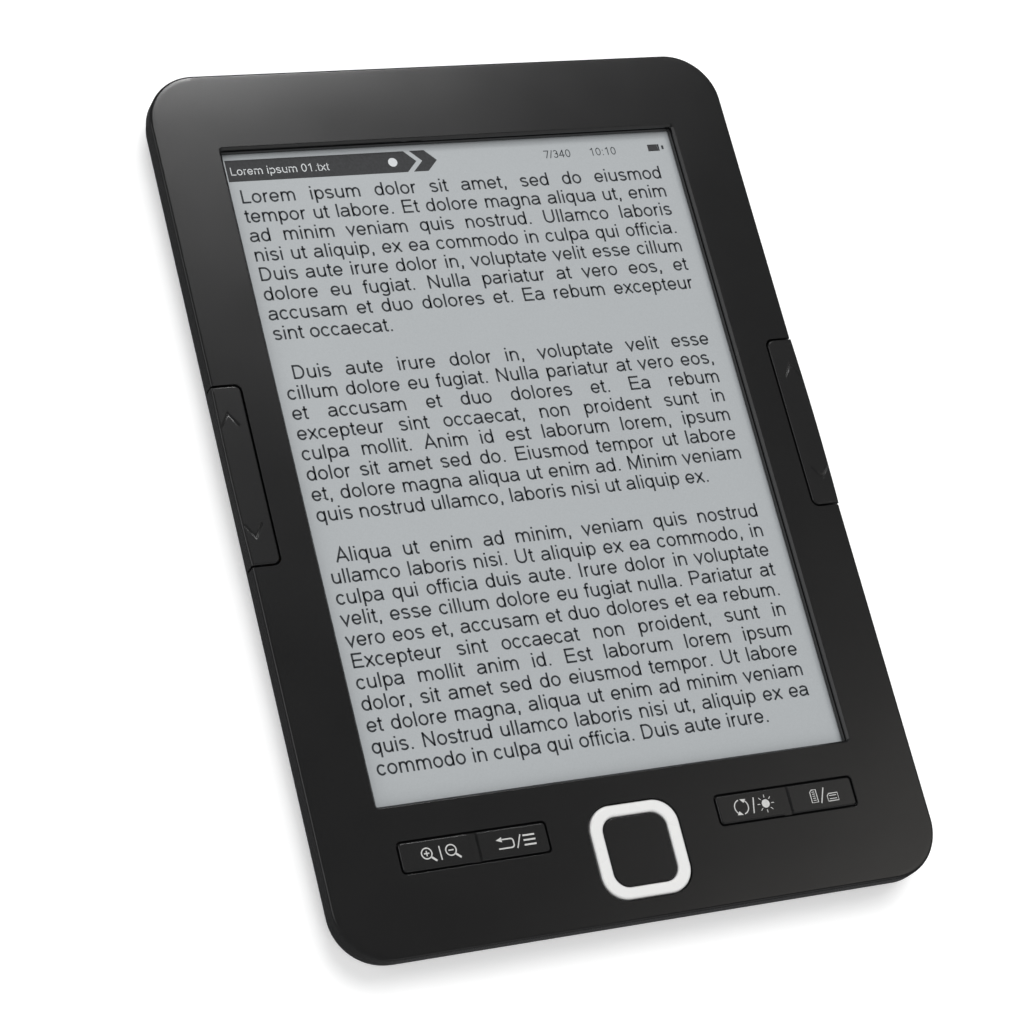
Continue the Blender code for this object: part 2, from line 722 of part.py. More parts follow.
def build_main_board():
    cut_off = BOARD_CORNER_CUT
    outline = [
        (-BOARD_HALF_WIDTH + cut_off, BOARD_BOTTOM),
        (BOARD_HALF_WIDTH - cut_off, BOARD_BOTTOM),
        (BOARD_HALF_WIDTH, BOARD_BOTTOM + cut_off),
        (BOARD_HALF_WIDTH, BOARD_COLUMN_TOP),
        (BOARD_COLUMN_LEFT, BOARD_COLUMN_TOP),
        (BOARD_COLUMN_LEFT, BOARD_SHOULDER),
        (-BOARD_HALF_WIDTH, BOARD_SHOULDER),
        (-BOARD_HALF_WIDTH, BOARD_BOTTOM + cut_off),
    ]
    board = Solid().loft([(BOARD_LOW, outline), (BOARD_TOP, outline)])
    board = board.object("main_board", "board_green")
    holes = Solid()
    for place in BOARD_SCREWS.values():
        holes.rod(place, CLEARANCE_RADIUS, BOARD_LOW - OVERSHOOT, BOARD_TOP + OVERSHOOT)
    cut(board, holes)

    # Each chip: centre, size across the board, and height.
    chips = {
        "processor": ((33.0 * MM, -16.0 * MM), (14.0 * MM, 14.0 * MM), 1.1 * MM),
        "memory_chip": ((33.0 * MM, 4.0 * MM), (13.0 * MM, 9.0 * MM), 0.9 * MM),
        "storage_chip": ((33.0 * MM, 24.0 * MM), (12.0 * MM, 16.0 * MM), 1.0 * MM),
        "power_chip": ((24.0 * MM, -50.0 * MM), (6.0 * MM, 6.0 * MM), 0.9 * MM),
    }
    bevel = 0.15 * MM
    for name, (centre, size, height) in chips.items():
        sections = [
            (MOUNTED, rounded(*size, bevel, centre, steps=1)),
            (MOUNTED + height - bevel, rounded(*size, bevel, centre, steps=1)),
            (
                MOUNTED + height,
                rounded(size[0] - 2 * bevel, size[1] - 2 * bevel, bevel, centre, steps=1),
            ),
        ]
        Solid().loft(sections).object(name, "chip_black")


# ---- Battery ----


def build_battery():
    width, height = BATTERY_RIGHT - BATTERY_LEFT, BATTERY_TOP_EDGE - BATTERY_BOTTOM
    centre = ((BATTERY_RIGHT + BATTERY_LEFT) / 2, (BATTERY_TOP_EDGE + BATTERY_BOTTOM) / 2)
    soft = BATTERY_ROUNDING
    corner = 2.0 * MM
    inner = rounded(width - 2 * soft, height - 2 * soft, corner - soft, centre)
    outer = rounded(width, height, corner, centre)
    Solid().loft(
        [
            (BATTERY_LOW, inner),
            (BATTERY_LOW + soft, outer),
            (BATTERY_HIGH - soft, outer),
            (BATTERY_HIGH, inner),
        ]
    ).object("battery_cell", "battery_foil")

    pad, pad_gap = 4.0 * MM, 0.25 * MM
    pad_outline = rounded(width - 2 * pad, height - 2 * pad, corner, centre)
    pad_low, pad_high = REAR_FLOOR + pad_gap, BATTERY_LOW - pad_gap
    Solid().loft([(pad_low, pad_outline), (pad_high, pad_outline)]).object("battery_adhesive", "foam")

    circuit_half = 15.0 * MM
    circuit_x = centre[0]
    Solid().block(
        (circuit_x - circuit_half, LEAD_START_Y + LEAD_END_GAP, BATTERY_LOW + soft),
        (circuit_x + circuit_half, BATTERY_BOTTOM - GAP, BATTERY_HIGH - soft),
    ).object("battery_circuit", "board_green")

    plug_half, plug_length = 2.4 * MM, 4.0 * MM
    plug_height = 1.2 * MM
    Solid().block(
        (LEAD_END[0] - plug_half, LEAD_END[1] - plug_length, MOUNTED),
        (LEAD_END[0] + plug_half, LEAD_END[1] - LEAD_END_GAP, MOUNTED + plug_height),
    ).object("battery_connector", "connector")

    lead_x = circuit_x + circuit_half - 3.0 * MM
    for name, finish, side in (("red", "lead_red", -1), ("black", "lead_black", 1)):
        start = (lead_x + side * LEAD_PITCH / 2, LEAD_START_Y)
        end = (LEAD_END[0] + side * LEAD_PITCH / 2, LEAD_END[1])
        lead(f"battery_lead_{name}", finish, start, end)


def lead(name, finish, start, end):
    """A wire that leaves and arrives along -Y, in one S-shaped sweep."""
    steps = 12
    curve = bpy.data.curves.new(name, "CURVE")
    curve.dimensions = "3D"
    curve.bevel_depth = LEAD_RADIUS
    curve.bevel_resolution = 2
    curve.use_fill_caps = True
    spline = curve.splines.new("POLY")
    spline.points.add(steps)
    for step in range(steps + 1):
        t = step / steps
        sweep = t * t * (3 - 2 * t)
        x = start[0] + (end[0] - start[0]) * sweep
        y = start[1] + (end[1] - start[1]) * t
        spline.points[step].co = (x, y, LEAD_Z, 1.0)
    curve.materials.append(material(name, finish))
    bpy.context.scene.collection.objects.link(bpy.data.objects.new(name, curve))


# ---- Sockets and the power button ----


def build_ports():
    centre_z = MOUNTED + USB_HEIGHT / 2
    shell = Solid().loft(
        [(USB_MOUTH, usb_profile(0.0)), (USB_BACK, usb_profile(0.0))], axis="Y"
    )
    shell = shell.object("usb_receptacle", "steel")
    bore = usb_profile(USB_WALL)
    cut(
        shell,
        Solid().loft([(USB_MOUTH - OVERSHOOT, bore), (USB_BACK - 2 * USB_WALL, bore)], axis="Y"),
    )
    tongue_half, tongue_recess = (1.8 * MM, 0.35 * MM), 0.6 * MM
    Solid().block(
        (USB_X - tongue_half[0], USB_MOUTH + tongue_recess, centre_z - tongue_half[1]),
        (USB_X + tongue_half[0], USB_BACK - 2 * USB_WALL - GAP, centre_z + tongue_half[1]),
    ).object("usb_tongue", "chip_black")

    card_top = MOUNTED + CARD_HEIGHT
    slot = Solid().block(
        (CARD_X - CARD_WIDTH / 2, CARD_MOUTH, MOUNTED), (CARD_X + CARD_WIDTH / 2, CARD_BACK, card_top)
    )
    slot = slot.object("card_slot", "steel")
    inner = CARD_WIDTH / 2 - CARD_WALL
    cut(
        slot,
        Solid().block(
            (CARD_X - inner, CARD_MOUTH - OVERSHOOT, MOUNTED + CARD_WALL),
            (CARD_X + inner, CARD_BACK - 2 * CARD_WALL, card_top - CARD_WALL),
        ),
    )

    switch_front = POWER_TAIL + 0.9 * MM
    nub_front = POWER_TAIL + GAP
    body_width, body_depth = 4.6 * MM, 2.0 * MM
    nub_height, nub_width = 0.8 * MM, 1.8 * MM
    body = rounded(POWER_HEIGHT, body_width, SWITCH_CORNER, (POWER_Z, POWER_X))
    nub = rounded(nub_height, nub_width, SWITCH_CORNER, (POWER_Z, POWER_X))
    Solid().loft(
        [
            (nub_front, nub),
            (switch_front, nub),
            (switch_front, body),
            (switch_front + body_depth, body),
        ],
        axis="Y",
    ).object("power_switch", "steel")

    chamfer, corner = 0.2 * MM, 0.6 * MM
    flange_reach, flange_thickness = 1.0 * MM, 1.0 * MM
    face = rounded(
        POWER_HEIGHT - 2 * chamfer,
        POWER_WIDTH - 2 * chamfer,
        corner - chamfer,
        (POWER_Z, POWER_X),
    )
    cap = rounded(POWER_HEIGHT, POWER_WIDTH, corner, (POWER_Z, POWER_X))
    flange = rounded(POWER_HEIGHT, POWER_WIDTH + 2 * flange_reach, corner, (POWER_Z, POWER_X))
    flange_front = POWER_TAIL - flange_thickness
    Solid().loft(
        [
            (POWER_FACE, face),
            (POWER_FACE + chamfer, cap),
            (flange_front, cap),
            (flange_front, flange),
            (POWER_TAIL, flange),
        ],
        axis="Y",
    ).object("power_button", "key_black", (POWER_X, POWER_FACE, POWER_Z))


def usb_profile(inset):
    """The socket's section as (height, x): full width on top, narrower below."""
    low, high = MOUNTED + inset, MOUNTED + USB_HEIGHT - inset
    half = USB_WIDTH / 2 - inset
    waist = MOUNTED + USB_HEIGHT * USB_WAIST
    return [
        (low, USB_X - half + USB_TAPER),
        (waist, USB_X - half),
        (high, USB_X - half),
        (high, USB_X + half),
        (waist, USB_X + half),
        (low, USB_X + half - USB_TAPER),
    ]


# ---- Keys ----


def page_key_plan(shrink, reach, bulge):
    """The right page key seen from the front: square outer corners, round inner ones.
    shrink draws its ends and inner side in, reach moves its outer side out."""
    half = PAGE_KEY_LENGTH / 2 - shrink
    inside = PAGE_KEY_INSIDE + shrink
    outside = CASE_WIDTH / 2 + reach
    radius = PAGE_KEY_CORNER - shrink
    middle = PAGE_KEY_CENTRE_Y
    points = []
    for step in range(PAGE_KEY_BULGE_STEPS + 1):
        t = 2 * step / PAGE_KEY_BULGE_STEPS - 1
        points.append((outside + bulge * (1 - t * t), middle + half * t))
    points += arc((inside + radius, middle + half - radius), radius, 90, 180)
    points += arc((inside + radius, middle - half + radius), radius, 180, 270)
    return points


def build_page_keys():
    top = CASE_DEPTH + PAGE_KEY_PROUD
    middle = PAGE_KEY_CENTRE_Y
    half = PAGE_KEY_LENGTH / 2
    skin_low = top - PAGE_KEY_SKIN
    outer_wall = CASE_WIDTH / 2 + PAGE_KEY_PROUD - PAGE_KEY_SKIN
    for side, name in ((-1, "page_key_left"), (1, "page_key_right")):
        pivot = (side * CHEVRON_X, middle, PAGE_PIVOT_Z)

        def facing(points, side=side):
            return points if side > 0 else mirrored(points)

        sections = [(PAGE_KEY_BOTTOM, facing(page_key_plan(0.0, 0.0, PAGE_KEY_BULGE)))]
        for height, inset in edge_rounding(top, EDGE_RADIUS):
            shrink = PAGE_KEY_CHAMFER if height == top else 0.0
            plan = page_key_plan(shrink, PAGE_KEY_PROUD - inset, PAGE_KEY_BULGE)
            sections.append((height, facing(plan)))
        key = Solid().loft(sections).object(name, "key_black", pivot)

        hollow = Solid()
        near, far = PAGE_KEY_INSIDE - OVERSHOOT, outer_wall
        under = rectangle((near, middle - half - OVERSHOOT), (far, middle + half + OVERSHOOT))
        hollow.loft(
            [
                (PAGE_KEY_BOTTOM - OVERSHOOT, facing(under)),
                (PAGE_KEY_INNER_BOTTOM, facing(under)),
            ]
        )
        cut(key, hollow)
        room_half = half - PAGE_KEY_END_WALL
        wall_step = 0.1 * MM
        room = rectangle(
            (PAGE_KEY_INSIDE + PAGE_KEY_INNER_WALL, middle - room_half),
            (far - wall_step, middle + room_half),
        )
        carved = Solid().loft(
            [(PAGE_KEY_INNER_BOTTOM - OVERSHOOT, facing(room)), (skin_low, facing(room))]
        )
        for up in (-1, 1):
            chevron = facing(chevron_outline(up))
            carved.loft([(top - CHEVRON_DEPTH, chevron), (top + OVERSHOOT, chevron)])
        cut(key, carved)

        feet = Solid()
        into_skin = skin_low + MERGE
        rib_end_gap = 0.5 * MM
        rib_ends = (PAGE_KEY_INSIDE + MERGE, outer_wall - rib_end_gap)
        rib = facing(rectangle((rib_ends[0], middle - RIB_HALF), (rib_ends[1], middle + RIB_HALF)))
        feet.loft([(PAGE_PIVOT_Z, rib), (into_skin, rib)])
        stem_low = PAGE_SWITCH_TOP + GAP
        for up in (-1, 1):
            place = (side * PAGE_SWITCH_X, middle + up * PAGE_SWITCH_OFFSET_Y)
            feet.rod(place, PAGE_STEM_RADIUS, stem_low, into_skin)
        add(key, feet)


def chevron_outline(up):
    """An arrowhead of constant stroke on the right key, pointing up the page or down it."""
    apex_y = PAGE_KEY_CENTRE_Y + up * CHEVRON_APEX
    foot_y = apex_y - up * CHEVRON_RISE
    stroke = up * CHEVRON_STROKE
    left, right = CHEVRON_X - CHEVRON_HALF_WIDTH, CHEVRON_X + CHEVRON_HALF_WIDTH
    points = [
        (left, foot_y),
        (left, foot_y - stroke),
        (CHEVRON_X, apex_y - stroke),
        (right, foot_y - stroke),
        (right, foot_y),
        (CHEVRON_X, apex_y),
    ]
    return points if up > 0 else points[::-1]


def cap_sections(width, height, corner, centre, top, chamfer, flange, bottom, steps=4):
    """A key cap: a flange at the bottom, straight sides and a chamfered or rounded top edge."""
    wide = rounded(width + 2 * flange, height + 2 * flange, corner + flange, centre, steps)
    plain = rounded(width, height, corner, centre, steps)
    sections = []
    if flange:
        sections += [(bottom, wide), (bottom + FLANGE_TOP - FLANGE_LOW, wide)]
        bottom += FLANGE_TOP - FLANGE_LOW
    sections.append((bottom, plain))
    for level, inset in edge_rounding(top, chamfer, steps=3):
        narrow = rounded(width - 2 * inset, height - 2 * inset, corner - inset, centre, steps)
        sections.append((level, narrow))
    return sections


def build_function_keys():
    top = CASE_DEPTH + FUNCTION_KEY_PROUD
    for side, name in ((-1, "function_key_left"), (1, "function_key_right")):
        centre = (side * FUNCTION_KEY_X, FUNCTION_KEY_Y)
        size = (FUNCTION_KEY_LENGTH, FUNCTION_KEY_WIDTH)
        sections = cap_sections(
            *size, FUNCTION_KEY_CORNER, centre, top, FUNCTION_KEY_CHAMFER, FLANGE_REACH, FLANGE_LOW
        )
        key = Solid().loft(sections).object(name, "key_black", (*centre, FRAME_PLATE_TOP + GAP))

        room_corner = 0.2 * MM
        room = rounded(size[0] - 2 * CAP_WALL, size[1] - 2 * CAP_WALL, room_corner, centre)
        carved = Solid().loft([(FLANGE_LOW - OVERSHOOT, room), (top - CAP_SKIN, room)])
        left, right = centre[0] - GROOVE_WIDTH / 2, centre[0] + GROOVE_WIDTH / 2
        groove = [
            (top - GROOVE_DEPTH, left),
            (top + OVERSHOOT, left),
            (top + OVERSHOOT, right + GROOVE_LEAN * OVERSHOOT),
            (top - GROOVE_DEPTH, right - GROOVE_LEAN * GROOVE_DEPTH),
        ]
        half = size[1] / 2 + OVERSHOOT
        carved.loft([(centre[1] - half, groove), (centre[1] + half, groove)], axis="Y")
        cut(key, carved)

        feet = Solid()
        into_skin = top - CAP_SKIN + MERGE
        for offset in (-FUNCTION_SWITCH_OFFSET, FUNCTION_SWITCH_OFFSET):
            feet.rod((centre[0] + offset, centre[1]), STEM_RADIUS, STEM_FOOT, into_skin)
        rib_half_width = size[1] / 2 - CAP_WALL + MERGE
        feet.block(
            (centre[0] - RIB_HALF, centre[1] - rib_half_width, FRAME_PLATE_TOP + GAP),
            (centre[0] + RIB_HALF, centre[1] + rib_half_width, into_skin),
        )
        add(key, feet)


def build_navigation():
    centre = (0.0, NAV_Y)
    top = CASE_DEPTH + RING_PROUD
    sections = cap_sections(
        RING_WIDTH,
        RING_HEIGHT,
        RING_CORNER,
        centre,
        top,
        RING_ROUNDING,
        FLANGE_REACH,
        FLANGE_LOW,
        steps=8,
    )
    ring = Solid().loft(sections).object("nav_ring", "ring_white", (*centre, PAD_TOP))
    levels = (
        (FLANGE_LOW - OVERSHOOT, 0.0),
        (top - RING_HOLE_CHAMFER, 0.0),
        (top + OVERSHOOT, RING_HOLE_CHAMFER + OVERSHOOT),
    )
    cut(ring, Solid().loft([(level, ring_hole(flare, centre)) for level, flare in levels]))

    outline = rounded(PAD_WIDTH, PAD_WIDTH, PAD_CORNER, centre, steps=6)
    pad = Solid().loft([(PAD_LOW, outline), (PAD_TOP, outline)])
    pad = pad.object("nav_pad", "silicone", (*centre, PAD_LOW))
    hole = rounded(PAD_HOLE, PAD_HOLE, PAD_HOLE_CORNER, centre)
    cut(pad, Solid().loft([(PAD_LOW - OVERSHOOT, hole), (PAD_TOP + OVERSHOOT, hole)]))
    nubs = Solid()
    for name, place in nav_switch_places().items():
        if name != "ok":
            nubs.rod(place, NUB_RADIUS, STEM_FOOT, PAD_LOW + GAP)
    add(pad, nubs)

    width = RING_HOLE_WIDTH - 2 * RING_GAP
    height = RING_HOLE_HEIGHT - 2 * RING_GAP
    corner = RING_HOLE_CORNER - RING_GAP
    sections = cap_sections(
        width, height, corner, centre, CASE_DEPTH, OK_ROUNDING, 0.0, OK_BOTTOM, steps=6
    )
    button = Solid().loft(sections).object("ok_button", "key_black", (*centre, CASE_DEPTH))
    room = rounded(width - 2 * OK_WALL, height - 2 * OK_WALL, corner - OK_WALL, centre)
    cut(button, Solid().loft([(OK_BOTTOM - OVERSHOOT, room), (CASE_DEPTH - OK_SKIN, room)]))
    add(button, Solid().rod(centre, STEM_RADIUS, STEM_FOOT, CASE_DEPTH - OK_SKIN + MERGE))


def ring_hole(flare, centre):
    return rounded(
        RING_HOLE_WIDTH + 2 * flare,
        RING_HOLE_HEIGHT + 2 * flare,
        RING_HOLE_CORNER + flare,
        centre,
        steps=8,
    )


# ---- Switches, their small boards and flexes ----


def function_switch_places():
    places = {}
    for side, side_name in ((-1, "left"), (1, "right")):
        for offset, offset_name in ((-1, "a"), (1, "b")):
            x = side * FUNCTION_KEY_X + offset * FUNCTION_SWITCH_OFFSET
            places[f"{side_name}_{offset_name}"] = (x, FUNCTION_KEY_Y)
    return places


def nav_switch_places():
    reach = NAV_SWITCH_OFFSET
    return {
        "up": (0.0, NAV_Y + reach),
        "down": (0.0, NAV_Y - reach),
        "left": (-reach, NAV_Y),
        "right": (reach, NAV_Y),
        "ok": (0.0, NAV_Y),
    }


def switch(name, place, low, body_height, top, size=(SWITCH_SIDE, SWITCH_SIDE)):
    """A tactile switch: a can of the given size across and along, with a round button on it."""
    can = rounded(*size, SWITCH_CORNER, place)
    radius = SWITCH_BUTTON_SHARE * min(size)
    button = rounded(2 * radius, 2 * radius, radius * SWITCH_BUTTON_ROUNDNESS, place)
    shoulder = low + body_height
    Solid().loft([(low, can), (shoulder, can), (shoulder, button), (top, button)]).object(name, "steel")


def build_switches():
    for name, place in function_switch_places().items():
        switch(f"function_switch_{name}", place, MOUNTED, SWITCH_BODY, SWITCH_TOP)
    for name, place in nav_switch_places().items():
        title = "ok_switch" if name == "ok" else f"nav_switch_{name}"
        switch(title, place, MOUNTED, SWITCH_BODY, SWITCH_TOP)
    for side, side_name in ((-1, "left"), (1, "right")):
        centre_x = side * PAGE_SWITCH_X
        for up, up_name in ((1, "up"), (-1, "down")):
            place = (centre_x, PAGE_KEY_CENTRE_Y + up * PAGE_SWITCH_OFFSET_Y)
            switch(
                f"page_switch_{side_name}_{up_name}",
                place,
                PAGE_BOARD_TOP + GAP,
                PAGE_SWITCH_BODY,
                PAGE_SWITCH_TOP,
                PAGE_SWITCH_SIZE,
            )
        half, length = PAGE_BOARD_WIDTH / 2, PAGE_BOARD_LENGTH / 2
        Solid().block(
            (side * PAGE_FLEX_X - half, PAGE_KEY_CENTRE_Y - length, PAGE_BOARD_LOW),
            (side * PAGE_FLEX_X + half, PAGE_KEY_CENTRE_Y + length, PAGE_BOARD_TOP),
        ).object(f"page_board_{side_name}", "board_green")
        build_page_flex(side, side_name)


def build_page_flex(side, side_name):
    """The strip from a page-key board down through the mid frame and on to the main board."""
    board_end = PAGE_KEY_CENTRE_Y - PAGE_BOARD_LENGTH / 2
    over = PAGE_BOARD_LOW + FLEX_THICKNESS
    turn = 0.5 * MM
    under = FRAME_PLATE_LOW - turn
    landing = 1.5 * MM
    path = [(board_end - GAP, over)]
    path += arc((PAGE_FLEX_SLOT + turn, over - turn), turn, 90, 180)[:-1]
    path += [(PAGE_FLEX_SLOT, over - turn), (PAGE_FLEX_SLOT, under + turn)]
    path += arc((PAGE_FLEX_SLOT - turn, under + turn), turn, 0, -90)[1:]
    path += [(PAGE_FLEX_END, under), (BOARD_SHOULDER - landing, MOUNTED + FLEX_THICKNESS)]
    outline = ribbon(path, FLEX_THICKNESS)
    half = PAGE_FLEX_WIDTH / 2
    ends = (side * PAGE_FLEX_X - half, side * PAGE_FLEX_X + half)
    Solid().loft([(ends[0], outline), (ends[1], outline)], axis="X").object(
        f"page_flex_{side_name}", "flex_orange"
    )


# ---- Screws ----


def build_screws():
    head_top = FRAME_PLATE_LOW - GAP
    head_low = head_top - HEAD_HEIGHT
    for name, place in FRAME_SCREWS.items():
        Solid().loft(
            [
                (head_low + SOCKET_DEPTH, circle(place, SOCKET_RADIUS, SCREW_SIDES)),
                (head_low, circle(place, SOCKET_RADIUS, SCREW_SIDES)),
                (head_low, circle(place, HEAD_RADIUS, SCREW_SIDES)),
                (head_top, circle(place, HEAD_RADIUS, SCREW_SIDES)),
                (head_top, circle(place, SHAFT_RADIUS, SCREW_SIDES)),
                (FRAME_SCREW_TOP, circle(place, SHAFT_RADIUS, SCREW_SIDES)),
            ]
        ).object(f"frame_screw_{name}", "steel")
    for name, place in BOARD_SCREWS.items():
        Solid().loft(
            [
                (REAR_FLOOR / 2 + GAP, circle(place, SHAFT_RADIUS, SCREW_SIDES)),
                (MOUNTED, circle(place, SHAFT_RADIUS, SCREW_SIDES)),
                (MOUNTED, circle(place, HEAD_RADIUS, SCREW_SIDES)),
                (MOUNTED + HEAD_HEIGHT, circle(place, HEAD_RADIUS, SCREW_SIDES)),
                (MOUNTED + HEAD_HEIGHT, circle(place, SOCKET_RADIUS, SCREW_SIDES)),
                (MOUNTED + HEAD_HEIGHT - SOCKET_DEPTH, circle(place, SOCKET_RADIUS, SCREW_SIDES)),
            ]
        ).object(f"board_screw_{name}", "steel")


def main():
    for item in list(bpy.data.objects):
        bpy.data.objects.remove(item)
    build_front_bezel()
    build_rear_cover()
    build_mid_frame()
    build_display()
    build_main_board()
    build_battery()
    build_ports()
    build_page_keys()
    build_function_keys()
    build_navigation()
    build_switches()
    build_screws()


main()
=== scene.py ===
"""The looks of an e-reader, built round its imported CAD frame. Everything is in metres, in the CAD's frame:
X to the right across the page, Y up the page and Z out of the screen."""

import math

import bmesh
import bpy
from mathutils import Matrix, Vector


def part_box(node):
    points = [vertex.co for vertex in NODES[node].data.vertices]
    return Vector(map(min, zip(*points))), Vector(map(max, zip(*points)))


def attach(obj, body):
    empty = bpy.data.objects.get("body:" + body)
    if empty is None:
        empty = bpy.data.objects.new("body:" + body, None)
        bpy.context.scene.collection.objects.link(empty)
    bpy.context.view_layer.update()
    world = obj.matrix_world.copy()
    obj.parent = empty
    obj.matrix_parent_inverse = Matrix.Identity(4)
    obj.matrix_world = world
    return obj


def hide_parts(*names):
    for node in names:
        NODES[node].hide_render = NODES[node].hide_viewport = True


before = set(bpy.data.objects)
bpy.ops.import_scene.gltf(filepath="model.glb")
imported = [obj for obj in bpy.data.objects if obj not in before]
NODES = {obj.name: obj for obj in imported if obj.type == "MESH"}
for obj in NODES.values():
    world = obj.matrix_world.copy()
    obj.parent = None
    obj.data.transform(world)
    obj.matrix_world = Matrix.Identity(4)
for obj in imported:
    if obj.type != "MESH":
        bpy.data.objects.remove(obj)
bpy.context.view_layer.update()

MM = 0.001

# ---- Driving dimensions, the same as the CAD's ----
CASE_LOW, CASE_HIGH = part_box("front_bezel")
CASE_WIDTH = CASE_HIGH.x - CASE_LOW.x
CASE_HEIGHT = CASE_HIGH.y - CASE_LOW.y
CASE_TOP = CASE_HIGH.z
PARTING_LINE = 6.4 * MM
REAR_TOP = 6.1 * MM
CORNER_RADIUS = 10.0 * MM
EDGE_RADIUS = 0.5 * MM
WALL = 1.4 * MM
PLATE_UNDERSIDE = CASE_TOP - 1.6 * MM
REAR_STEP = 0.25 * MM
REAR_CURVE = 7.0 * MM
LIP_OUTSIDE = 1.8 * MM
LIP_INSIDE = 2.6 * MM
LIP_CLEARANCE = 0.3 * MM
SOCKET_CLEARANCE = 0.45 * MM
POWER_CLEARANCE = 0.3 * MM
POWER_FLANGES = 2.0 * MM
OPENINGS_END = -79.8 * MM

SCREEN_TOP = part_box("display_cover_film")[1].z
WINDOW_CENTRE_Y = 5.6 * MM
WINDOW_WIDTH = 93.3 * MM
WINDOW_HEIGHT = 127.6 * MM
WINDOW_CHAMFER = 0.4 * MM
WINDOW_DRAFT = 0.13 * MM
WINDOW_CORNER = 0.7 * MM

PAGE_KEY_CENTRE_Y = 5.03 * MM
PAGE_KEY_LENGTH = 34.0 * MM
PAGE_KEY_INSIDE = 53.23 * MM
PAGE_KEY_CORNER = 1.2 * MM
PAGE_KEY_PROUD = 0.1 * MM
PAGE_KEY_BULGE = 0.25 * MM
PAGE_KEY_BOTTOM = 6.5 * MM
PAGE_KEY_SKIN = 1.5 * MM
PAGE_KEY_GAP = 0.35 * MM
CHEVRON_X = 56.6 * MM
CHEVRON_APEX = 11.8 * MM
CHEVRON_RISE = 2.5 * MM
CHEVRON_HALF_WIDTH = 1.7 * MM

FUNCTION_KEY_X = 30.5 * MM
FUNCTION_KEY_Y = -67.3 * MM
FUNCTION_KEY_LENGTH = 27.5 * MM
FUNCTION_KEY_WIDTH = 5.2 * MM
FUNCTION_KEY_CORNER = 0.6 * MM
FUNCTION_KEY_GAP = 0.35 * MM
GROOVE_HALF = 0.95 * MM
GROOVE_DEPTH = 0.5 * MM
GROOVE_LEAN = 0.58
FUNCTION_KEY_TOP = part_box("function_key_left")[1].z
FLANGE_LOW = 6.9 * MM
FLANGE_TOP = 7.4 * MM
FLANGE_REACH = 0.9 * MM

NAV_Y = -72.02 * MM
RING_WIDTH = 17.2 * MM
RING_HEIGHT = 17.1 * MM
RING_CORNER = 4.6 * MM
RING_HOLE_WIDTH = 12.5 * MM
RING_HOLE_HEIGHT = 12.8 * MM
RING_HOLE_CORNER = 2.8 * MM
RING_GAP = 0.3 * MM
RING_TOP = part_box("nav_ring")[1].z
OK_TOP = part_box("ok_button")[1].z
OK_BOTTOM = 7.0 * MM
OK_GAP = 0.2 * MM

# ---- Fine work that only shows: the face is crowned more widely than the CAD's ----
CROWN_DROP = 0.038 * MM
CROWN_WIDTH = 9.5 * MM
CORNER_STEPS = 24
CROWN_STEPS = 12
# How deep and how wide the chevron grooves are, in millimetres: steep below, with soft shoulders.
CHEVRON_GROOVE = ((0.14, 0.05), (0.12, 0.13), (0.035, 0.38), (0.017, 0.46), (0.0, 0.70), (-0.2, 0.72))
SLOT_FILLET = 0.12 * MM
PRINT_THICKNESS = 0.008 * MM
PRINT_LIFT = 0.002 * MM
OVERSHOOT = 1.0 * MM

# ---- Camera: where it stands from the middle of the front face, and how it is turned ----
CAMERA_OFFSET = Vector((-244.88, -192.37, 501.0)) * MM
CAMERA_RIGHT = Vector((0.909, -0.2379, 0.3423))
CAMERA_UP = Vector((0.0955, 0.9181, 0.3847))
CAMERA_LENS = 114.15

FILLER = (
    "lorem ipsum dolor sit amet sed do eiusmod tempor ut labore et dolore magna aliqua ut enim ad "
    "minim veniam quis nostrud ullamco laboris nisi ut aliquip ex ea commodo in culpa qui officia "
    "duis aute irure dolor in voluptate velit esse cillum dolore eu fugiat nulla pariatur at vero "
    "eos et accusam et duo dolores et ea rebum excepteur sint occaecat non proident sunt in culpa "
    "mollit anim id est laborum"
).split()


# ---- Outlines, anticlockwise ----

# A bend sharper than this keeps a short mitre instead of a long point.
MITRE_LIMIT = 0.3


def rectangle(low, high):
    return [(low[0], low[1]), (high[0], low[1]), (high[0], high[1]), (low[0], high[1])]


def arc(centre, radius, start, end, steps=8):
    """Points along an arc from start to end, in degrees."""
    points = []
    for step in range(steps + 1):
        angle = math.radians(start + (end - start) * step / steps)
        points.append((centre[0] + radius * math.cos(angle), centre[1] + radius * math.sin(angle)))
    return points


def circle(centre, radius, sides=24):
    return arc(centre, radius, 0, 360, sides)[:-1]


def rounded(width, height, radius, centre=(0.0, 0.0), steps=8):
    points = []
    for corner, (right, up) in enumerate(((1, 1), (-1, 1), (-1, -1), (1, -1))):
        middle = (centre[0] + right * (width / 2 - radius), centre[1] + up * (height / 2 - radius))
        points += arc(middle, radius, 90 * corner, 90 * corner + 90, steps)
    return points


def grown(width, height, corner, centre, extra, steps=8):
    """A rounded outline that is larger by extra all round."""
    return rounded(width + 2 * extra, height + 2 * extra, corner + extra, centre, steps)


def case_outline(inset):
    return grown(CASE_WIDTH, CASE_HEIGHT, CORNER_RADIUS, (0.0, 0.0), -inset, CORNER_STEPS)


def window_outline(inset):
    corner = WINDOW_CORNER - min(inset, WINDOW_CHAMFER)
    return rounded(WINDOW_WIDTH - 2 * inset, WINDOW_HEIGHT - 2 * inset, corner, (0.0, WINDOW_CENTRE_Y))


def facing(side, points):
    """The outline for this side of the reader, 1 or -1, from the one for the right side."""
    return points if side > 0 else [(-x, y) for x, y in reversed(points)]


